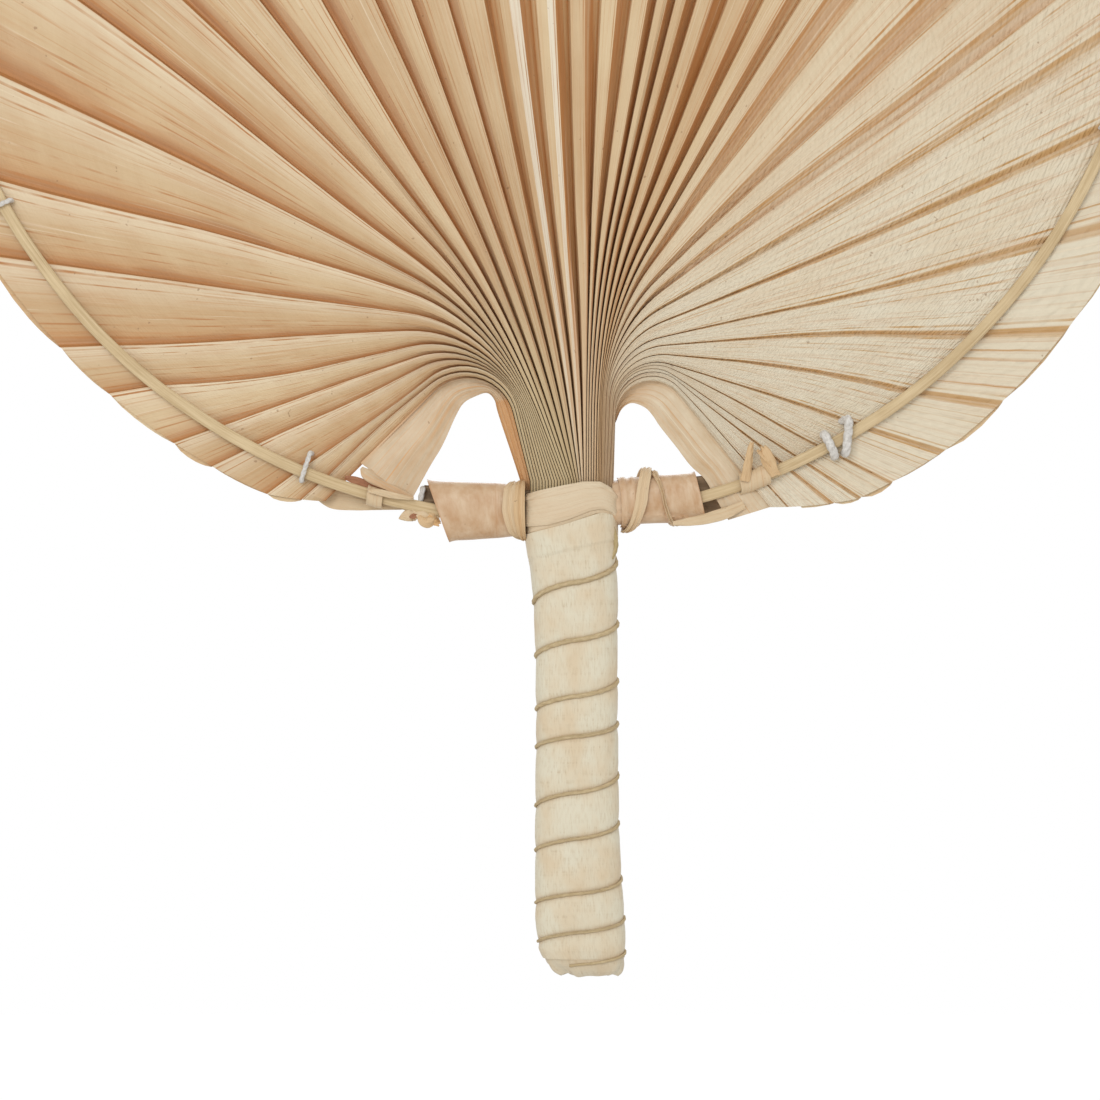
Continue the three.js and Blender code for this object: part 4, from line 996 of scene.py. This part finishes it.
# Crossbar: two split slats, weathered grey brown, pushed through the throat side
# by side. Only their ends show, in the wraps' open ends.
weathered = fibre_material("weathered_slat", (0.40, 0.28, 0.17, 1), (0.17, 0.11, 0.06, 1), across=14,
                           along=0.5, roughness=0.7, relief=0.7, distance=0.0005)
slat_half_height, slat_half_depth = 0.0026, 0.0007
slat_rows, slat_sides = 90, 28
for node, from_place, to_place in [
    ("front_crossbar_slat", (-0.0460, 0.0741), (0.0405, 0.0814)),
    ("back_crossbar_slat", (-0.0460, 0.0784), (0.0450, 0.0741)),
]:
    low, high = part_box(node)
    depth = (low[1] + high[1]) / 2
    along = np.array(to_place) - np.array(from_place)
    up = np.array([-along[1], along[0]]) / np.linalg.norm(along)
    rings = np.zeros((slat_rows, slat_sides, 3))
    for row, share in enumerate(np.linspace(0, 1, slat_rows)):
        middle = np.array(from_place) + along * share
        for i in range(slat_sides):
            turn = 2 * math.pi * i / slat_sides
            height = squared(math.cos(turn), 0.3) * slat_half_height
            y = squared(math.sin(turn), 0.35) * slat_half_depth
            y *= 1 - 0.12 * (wander(height * 1500, share * 3, depth * 900) + 0.4)
            split = 0.0007 * wander(height * 900, y * 800, share) * (share < 0.02 or share > 0.98)
            place = middle + up * height + along / np.linalg.norm(along) * split
            rings[row, i] = place[0], depth + y, place[1]
    slat = skin(node + "_split", rings)
    paint_skin(slat, rings)
    finish_piece(slat, "bamboo_slat", weathered, node, smooth=35)


# Crossbar wraps and lashings: leaf strip wound round the slats' ends and the
# hoop's, smooth on the left, with a knotted strip over the right one.
def outline_point(turn, half_width, half_depth, power):
    """A place on a rounded box; the higher the power, the squarer it is."""
    return half_width * squared(math.cos(turn), 2 / power), half_depth * squared(math.sin(turn), 2 / power)


arm_half_depth = 0.0062
arm_wall = 0.0008


def arm_sleeve(name, node, stations, rows, seam, seam_step, lip):
    """A wound sleeve along X. Stations give X, low and high edge and lean."""
    run = smooth_run(stations, rows)
    sides = 96
    layers = []
    for inside in (0, 1):
        layer = np.zeros((sides, rows, 3))
        for column in range(sides):
            turn = 2 * math.pi * column / sides
            for row in range(rows):
                x, low_edge, high_edge, lean = run[row]
                share = row / (rows - 1)
                past = ((turn - seam - 0.7 * share) / (2 * math.pi)) % 1
                out = seam_step * (past - 1) + 0.00018 * wander(turn * 1.5, share * 3, x * 40)
                out += lip * max(0, 1 - share * 9) ** 2 * (0.6 + 0.4 * math.sin(turn * 2 + 1))
                out -= inside * arm_wall
                up, y = outline_point(turn, (high_edge - low_edge) / 2 + out, arm_half_depth + out, 2.5)
                middle = (low_edge + high_edge) / 2
                layer[column, row] = x + lean * up / (high_edge - low_edge), y, middle + up
        layers.append(layer)
    piece = sheet_body(name, *layers, closed=True)
    length = abs(run[-1, 0] - run[0, 0]) * to_centimetres
    across = np.tile(np.linspace(0, 1, rows) * length, (sides, 1))
    along = np.tile(np.linspace(0, 5.0, sides)[:, None], (1, rows))
    edge = np.maximum(0, 1 - np.linspace(0, 1, rows) * 12)
    paint_sheet(piece, across, along, np.tile(edge, (sides, 1)))
    finish_piece(piece, "leaf_strip", wrap_leaf, node, smooth=60)


wrap_leaf = leaf_material("wrap_leaf", (0.72, 0.57, 0.40, 1), (0.47, 0.26, 0.12, 1), (0.42, 0.18, 0.06, 1),
                          ribs=3.0, grain=0.6, roughness=0.38, specks=0.3, lines=0.5, mottle=7.0)
arm_sleeve("left_leaf_wrap", "left_crossbar_wrap", [
    [-0.0416, 0.0639, 0.0824, -0.0066], [-0.0340, 0.0641, 0.0821, -0.0040],
    [-0.0270, 0.0645, 0.0819, -0.0015], [-0.0222, 0.0648, 0.0816, 0], [-0.0160, 0.0655, 0.0810, 0],
], 50, seam=2.2, seam_step=0.0005, lip=0.0005)
arm_sleeve("right_leaf_wrap", "right_crossbar_wrap", [
    [0.0369, 0.0703, 0.0851, -0.0034], [0.0335, 0.0698, 0.0848, -0.0027], [0.0280, 0.0695, 0.0844, -0.0020],
    [0.0226, 0.0694, 0.0842, -0.0020], [0.0105, 0.0688, 0.0826, 0],
], 48, seam=3.6, seam_step=0.0006, lip=0.0004)


def wound_band(name, leaf, middles, half_widths, low_edge, high_edge, out, curl, *nodes):
    """A strip wound once round the crossbar. Its middles and half widths go from the top over the front."""
    thickness, sides, rows = 0.0006, 112, 11
    layers = []
    marks = np.linspace(0, 2 * math.pi, len(middles) + 1)
    for wall in (thickness, 0):
        layer = np.zeros((sides, rows, 3))
        for column in range(sides):
            turn = 2 * math.pi * column / sides
            x = np.interp(turn, marks, middles + middles[:1])
            half = np.interp(turn, marks, half_widths + half_widths[:1])
            for row, share in enumerate(np.linspace(-1, 1, rows)):
                lift = out + wall + curl * abs(share) ** 3 - 0.00025 * math.cos(share * 7) * wall / thickness
                lift += 0.0002 * wander(share * 1.4, turn * 1.2, len(name))
                up, y = outline_point(turn, (high_edge - low_edge) / 2 + lift, arm_half_depth + lift, 2.5)
                layer[column, row] = x + half * share, -y, (low_edge + high_edge) / 2 + up
        layers.append(layer)
    piece = sheet_body(name, *layers, closed=True)
    across = np.tile(np.linspace(0, 1, rows), (sides, 1))
    along = np.tile(np.linspace(0, 5.0, sides)[:, None], (1, rows))
    # Painted shade: the crease value rises towards both edges, darkening them a little.
    paint_sheet(piece, across * 0.8, along, np.clip(np.abs(across * 2 - 1) * 1.6 - 1.1, 0, 1))
    finish_piece(piece, "leaf_strip", leaf, *nodes, smooth=60)


lashing_leaf = leaf_material("lashing_leaf", (0.74, 0.60, 0.40, 1), (0.64, 0.45, 0.26, 1), rib_and_fold_shade_brown,
                             ribs=22.0, grain=0.2, roughness=0.45, specks=0.2)
wound_band("left_outer_lash", lashing_leaf,
           [-0.0181, -0.0201, -0.0206, -0.0190, -0.0163, -0.0180, -0.0190, -0.0185],
           [0.0014, 0.0017, 0.0018, 0.0014, 0.0007, 0.0014, 0.0017, 0.0016],
           0.0652, 0.0815, -0.0001, 0.0003, "left_crescent_lashing")
wound_band("left_inner_lash", torn_leaf,
           [-0.0165, -0.0170, -0.0173, -0.0166, -0.0157, -0.0168, -0.0170, -0.0168],
           [0.0008, 0.0014, 0.0017, 0.0012, 0.0006, 0.0012, 0.0014, 0.0011],
           0.0652, 0.0815, 0.0003, 0.0002)
wound_band("right_wide_lash", wrap_leaf,
           [0.0150, 0.0155, 0.0160, 0.0160, 0.0150, 0.0168, 0.0168, 0.0160],
           [0.0030, 0.0030, 0.0028, 0.0026, 0.0020, 0.0030, 0.0030, 0.0030],
           0.0682, 0.0832, -0.0006, 0.0002)
wound_band("right_crossed_lash", lashing_leaf,
           [0.0210, 0.0204, 0.0192, 0.0170, 0.0142, 0.0150, 0.0175, 0.0195],
           [0.0014, 0.0017, 0.0018, 0.0015, 0.0011, 0.0014, 0.0014, 0.0014],
           0.0674, 0.0856, 0.0, 0.0002, "right_twisted_lashing")
wound_band("right_edge_lash", lashing_leaf,
           [0.0226, 0.0238, 0.0258, 0.0278, 0.0296, 0.0280, 0.0255, 0.0235],
           [0.0012, 0.0007, 0.0005, 0.0006, 0.0011, 0.0012, 0.0012, 0.0012],
           0.0690, 0.0850, -0.0003, 0.0001)


# Collar: wide leaf strip wound round the throat. A lower turn peeps out under a
# front pass that folds over at its top and curls down at the right.
low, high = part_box("collar_lower_turn")
collar_middle = (low[0] + high[0]) / 2
collar_half_width, collar_half_depth = (high[0] - low[0]) / 2, (high[1] - low[1]) / 2
collar_leaf = leaf_material("collar_leaf", (0.72, 0.62, 0.45, 1), (0.64, 0.48, 0.31, 1), rib_and_fold_shade_brown,
                            ribs=12.0, grain=0.8, specks=0.2, lines=0.4, mottle=3.0)


def collar_band(name, node, lows, highs, step_line, out, from_turn, to_turn, closed=False):
    """A strip round the collar. Tables give its low and high edge, and a raised fold's line, across X."""
    thickness, rows, sides = 0.0009, 34, 120
    layers = []
    turns = np.linspace(from_turn, to_turn, sides + closed)[:sides]
    for wall in (0, thickness):
        layer = np.zeros((sides, rows, 3))
        for column, turn in enumerate(turns):
            flat_x = collar_middle + outline_point(turn, collar_half_width, collar_half_depth, 3.4)[0]
            bottom, top = (np.interp(flat_x, *zip(*table)) for table in (lows, highs))
            line = np.interp(flat_x, *zip(*step_line))
            for row, share in enumerate(np.linspace(0, 1, rows)):
                z = bottom + (top - bottom) * share
                fold = 0.5 + 0.5 * math.tanh((z - line) / 0.00024)
                lift = out + 0.00045 * fold * math.exp(-max(0, z - line) / 0.004)
                lift -= 0.0007 * max(0, share - 0.85) / 0.15 + 0.0003 * max(0, 0.08 - share) / 0.08
                lift += 0.00022 * wander(flat_x * 160, z * 160, len(name)) - wall
                x, y = outline_point(turn, collar_half_width + lift, collar_half_depth + lift, 3.4)
                layer[column, row] = collar_middle + x, y, z
        layers.append(layer)
    piece = sheet_body(name, *layers, closed=closed)
    across = np.tile(np.linspace(0, 1.2, rows), (sides, 1))
    along = np.tile(np.linspace(0, 4.4, sides)[:, None], (1, rows))
    places = layers[0]
    lines = np.interp(places[:, :, 0], *zip(*step_line))
    # Painted shade: a dark line just under the raised fold, and darker along the strip's low edge.
    shade = 0.75 * np.exp(-((places[:, :, 2] - lines + 0.0003) / 0.0005) ** 2)
    edge = np.clip(1 - across / 1.2 * 30, 0, 1)
    paint_sheet(piece, across, along, np.clip(np.maximum(shade, edge * 0.7), 0, 1))
    finish_piece(piece, "leaf_strip", collar_leaf, node, smooth=60)


never = [(-1, 1), (1, 1)]
collar_band("collar_under_turn", "collar_lower_turn",
            [(-0.0158, 0.0660), (-0.0045, 0.0687), (0.0065, 0.0724), (0.0125, 0.0706)],
            [(-0.0158, 0.0730), (0.0125, 0.0760)], never, -0.0007, 0, 2 * math.pi, closed=True)
collar_band("collar_front_strip", "collar_front_pass",
            [(-0.0160, 0.0684), (-0.0090, 0.0689), (-0.0030, 0.0705), (0.0040, 0.0732), (0.0075, 0.0738),
             (0.0105, 0.0727), (0.0128, 0.0703)],
            [(-0.0160, 0.0782), (-0.0100, 0.0796), (-0.0050, 0.0806), (0.0018, 0.0819), (0.0070, 0.0819),
             (0.0105, 0.0800), (0.0128, 0.0768)],
            [(-0.0160, 0.0758), (-0.0090, 0.0786), (-0.0040, 0.0801), (0.0030, 0.0810), (0.0090, 0.0798),
             (0.0128, 0.0755)],
            0.0001, math.radians(172), math.radians(368))
collar_band("collar_back_strip", "collar_back_pass", [(-0.0160, 0.0705), (0.0128, 0.0722)],
            [(-0.0160, 0.0800), (0.0128, 0.0812)], [(-0.0160, 0.0770), (0.0128, 0.0782)],
            -0.0002, math.radians(4), math.radians(176))


# Handle: the stalk, wound in a wide pale strip that the cord draws in a little
# at every turn. The strip's ladder ribs run across it, and its end is crumpled.
handle_top = 0.0675
handle_length = 0.1335
handle_width, handle_depth, handle_back_depth = 0.024, 0.015, 0.0066
handle_shares = [
    [0, -0.078, 1.13, 1.06], [0.058, -0.056, 1.067, 1.03], [0.157, -0.016, 1.033, 1],
    [0.283, -0.005, 1.004, 1], [0.436, 0, 1, 1], [0.656, 0, 1.025, 1], [0.784, 0.019, 1.063, 1],
    [0.872, 0.038, 1.1, 0.98], [0.94, 0.062, 1.075, 0.92], [0.975, 0.108, 0.967, 0.76], [1, 0.15, 0.825, 0.5],
]
cord_right_shares = [0.073, 0.21, 0.339, 0.435, 0.551, 0.658, 0.783, 0.871, 0.948]
cord_left_shares = [0.163, 0.282, 0.402, 0.487, 0.619, 0.719, 0.838, 0.925]
cord_start, cord_end = (-0.25, 0.012), (8.3, 0.974)
cord_keys = [cord_start]
for turn, share in enumerate(cord_right_shares):
    cord_keys.append((turn, share))
    if turn < len(cord_left_shares):
        cord_keys.append((turn + 0.5, cord_left_shares[turn]))
cord_keys.append(cord_end)


def handle_point(height, turn, offset):
    """A place on the grip, which is round at the sides and front and flat at the back."""
    middle, width, depth = read_table(handle_shares, (handle_top - height) / handle_length)
    x, y = outline_point(turn, handle_width * width / 2 + offset, handle_depth * depth / 2 + offset, 2.7)
    return [handle_width * middle + x, min(y, handle_back_depth + offset), height]


def cord_height(turns):
    """How high the cord is after some turns round the grip."""
    return handle_top - handle_length * np.interp(turns, *zip(*cord_keys))


wrap_low, wrap_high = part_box("handle_wrap")[0][2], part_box("handle_wrap")[1][2]
wrap_rows, wrap_sides = 330, 144
seam_line = [(-0.0160, 0.0583), (-0.0020, 0.0617), (0.0105, 0.0645), (0.0140, 0.0650)]
top_line = [(-0.0160, 0.0658), (-0.0042, 0.0690), (0.0069, 0.0727), (0.0120, 0.0716)]
wrap_wall = 0.0013
layers = []
cord_turns = np.arange(-1, 10)
grooves = np.zeros((wrap_sides, wrap_rows))
for inside in (0, 1):
    layer = np.zeros((wrap_sides, wrap_rows, 3))
    for column in range(wrap_sides):
        turn = 2 * math.pi * column / wrap_sides
        passes = cord_turns - turn / (2 * math.pi)
        passes = cord_height(passes[(passes > cord_start[0]) & (passes < cord_end[0])])
        top = np.interp(handle_point(wrap_high, turn, 0)[0], *zip(*top_line)) if turn > math.pi else 0.0715
        for row, height in enumerate(np.linspace(wrap_low, top, wrap_rows)):
            nearest = np.min(np.abs(passes - height))
            groove = math.exp(-(nearest / 0.0011) ** 2)
            grooves[column, row] = groove
            x = handle_point(height, turn, 0)[0]
            seam = np.interp(x, *zip(*seam_line)) if turn > math.pi else 0.0605
            step = 0.00018 + 0.00018 * math.tanh((height - seam) / 0.00024)
            pillow = 0.0003 * min(1, nearest / 0.004)
            dent = 0.00016 * wander(math.cos(turn) * 2.2, math.sin(turn) * 2.2, height * 130)
            offset = pillow - 0.00025 * groove + step + dent - inside * wrap_wall
            layer[column, row] = handle_point(height, turn, offset)
    layers.append(layer)
wrap = sheet_body("handle_leaf_wrap", *layers, closed=True)
measured_row = 150
around = travelled(layers[0][:, measured_row])
heights = layers[0][:, :, 2] * to_centimetres + 7
paint_sheet(wrap, np.tile(around[:, None], (1, wrap_rows)), heights, 0.55 * grooves)


def ladder_material(name, pale, warm, line):
    """Pale wrapping strip: soft warm patches, short ladder marks in upright rows, and painted shade in the
    cord's grooves.
    """
    paint = Paint(name, roughness=0.5)
    color = paint.blend(paint.ramp(paint.texture((1.1, 0.7, 1), 3.0), 0.4, 0.66), pale, warm)
    strokes = paint.ramp(paint.texture((21, 3.0, 1)), 0.48, 0.72)
    rows = paint.ramp(paint.texture((0.5, 12.0, 1)), 0.45, 0.7)
    marks = paint.times(strokes, paint.scaled(rows, 0.5, 0.3))
    color = paint.blend(marks, color, line)
    # Painted shade: darker in the grooves that the cord draws in.
    color = paint.blend(paint.times(paint.crease(), 0.8), color, (0.42, 0.27, 0.13, 1))
    return paint.finish(color, marks, 0.4, 0.0003, sunken=True)


handle_leaf = ladder_material("handle_leaf", (0.71, 0.655, 0.51, 1), (0.68, 0.56, 0.39, 1),
                              (0.54, 0.43, 0.28, 1))
finish_piece(wrap, "leaf_strip", handle_leaf, "handle_wrap", smooth=60)

rolled_leaf = leaf_material("rolled_leaf", (0.58, 0.46, 0.25, 1), (0.36, 0.26, 0.11, 1),
                            (0.25, 0.17, 0.07, 1), ribs=18.0)
ribbon("rolled_strip_edge", rolled_leaf, [
    [0.0101, -0.0050, 0.0697, 0.0005, 10, 0.0002], [0.0113, -0.0040, 0.0655, 0.0008, 30, 0.0004],
    [0.0114, -0.0036, 0.0620, 0.0008, 40, 0.0004], [0.0104, -0.0046, 0.0588, 0.0004, 20, 0.0001],
], ragged=0.0003)

(_, _, fold_low), (_, _, fold_high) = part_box("handle_end_fold")
fold_high += 0.0006
fold_rows, fold_sides = 26, 96
rings = np.zeros((fold_rows, fold_sides, 3))
for row, share in enumerate(np.linspace(0, 1, fold_rows)):
    height = fold_high + (fold_low - fold_high) * share
    for i in range(fold_sides):
        turn = 2 * math.pi * i / fold_sides
        pucker = 0.0009 * wander(math.cos(turn) * 3.1, math.sin(turn) * 3.1, 0.4 + share * 1.6) * share
        pucker += 0.0005 * math.sin(turn * 7 + 2 * share) * share - 0.0016 * share ** 6
        x, y, _ = handle_point(height, turn, pucker - 0.0002)
        drop = 0.0010 * wander(math.cos(turn) * 2.4, math.sin(turn) * 2.4, 5.1) * share
        rings[row, i] = x, y, height + drop
end_fold = skin("crumpled_wrap_end", rings)
around = np.arange(fold_sides) / fold_sides * 6.4
from_tip = (fold_rows - 1 - np.arange(fold_rows)) * 0.022
lay_ribs(end_fold.data, np.tile(around, fold_rows), np.repeat(from_tip, fold_sides))
mark_creases(end_fold.data, np.repeat(np.linspace(0.35, 0.1, fold_rows), fold_sides))
finish_piece(end_fold, "leaf_strip", handle_leaf, "handle_end_fold", smooth=60)

stalk_fibre = fibre_material("stalk_fibre", (0.46, 0.36, 0.20, 1), (0.30, 0.21, 0.11, 1))
low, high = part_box("leaf_stalk")
stalk_rows, stalk_sides = 40, 48
rings = np.zeros((stalk_rows, stalk_sides, 3))
for row, share in enumerate(np.linspace(0, 1, stalk_rows)):
    height = low[2] + (high[2] - low[2]) * share
    for i in range(stalk_sides):
        turn = 2 * math.pi * i / stalk_sides
        ribbing = 0.0002 * math.sin(turn * 12) - 0.0003
        half_width, half_depth = 0.0078 + 0.0011 * share, 0.0039 + 0.0005 * share
        x, y = outline_point(turn, half_width + ribbing, half_depth + ribbing, 2.7)
        rings[row, i] = x + throat_shift * max(0, share * 2 - 1), y, height
stalk = skin("stalk_core", rings)
paint_skin(stalk, rings)
finish_piece(stalk, "stalk", stalk_fibre, "leaf_stalk")


# Handle cord: twisted leaf fibre, one long winding down the grip.
cord_radii = [0.00082, 0.0006, 0.00044]
cord_offset = 0.0001
cord_steps = 1500
samples = np.linspace(cord_start[0], cord_end[0], cord_steps)
cord_line = []
for turns in samples:
    waver = 0.00022 * wander(turns * 5.1, 0.7, 2.2)
    cord_line.append(handle_point(cord_height(turns) + waver, -2 * math.pi * turns, cord_offset))
thinning = np.interp(samples, [cord_start[0], 3.5, cord_end[0]], cord_radii)
rings = twisted_rings(cord_line, thinning, 2, 0.0062, sides=14, depth=0.16)
cord = skin("handle_winding", rings)
paint_skin(cord, rings)
cord_fibre = fibre_material("cord_fibre", (0.60, 0.48, 0.29, 1), (0.42, 0.31, 0.17, 1), across=5, along=5,
                            roughness=0.75, relief=0.7)
finish_piece(cord, "cord", cord_fibre, "handle_cord", smooth=70)
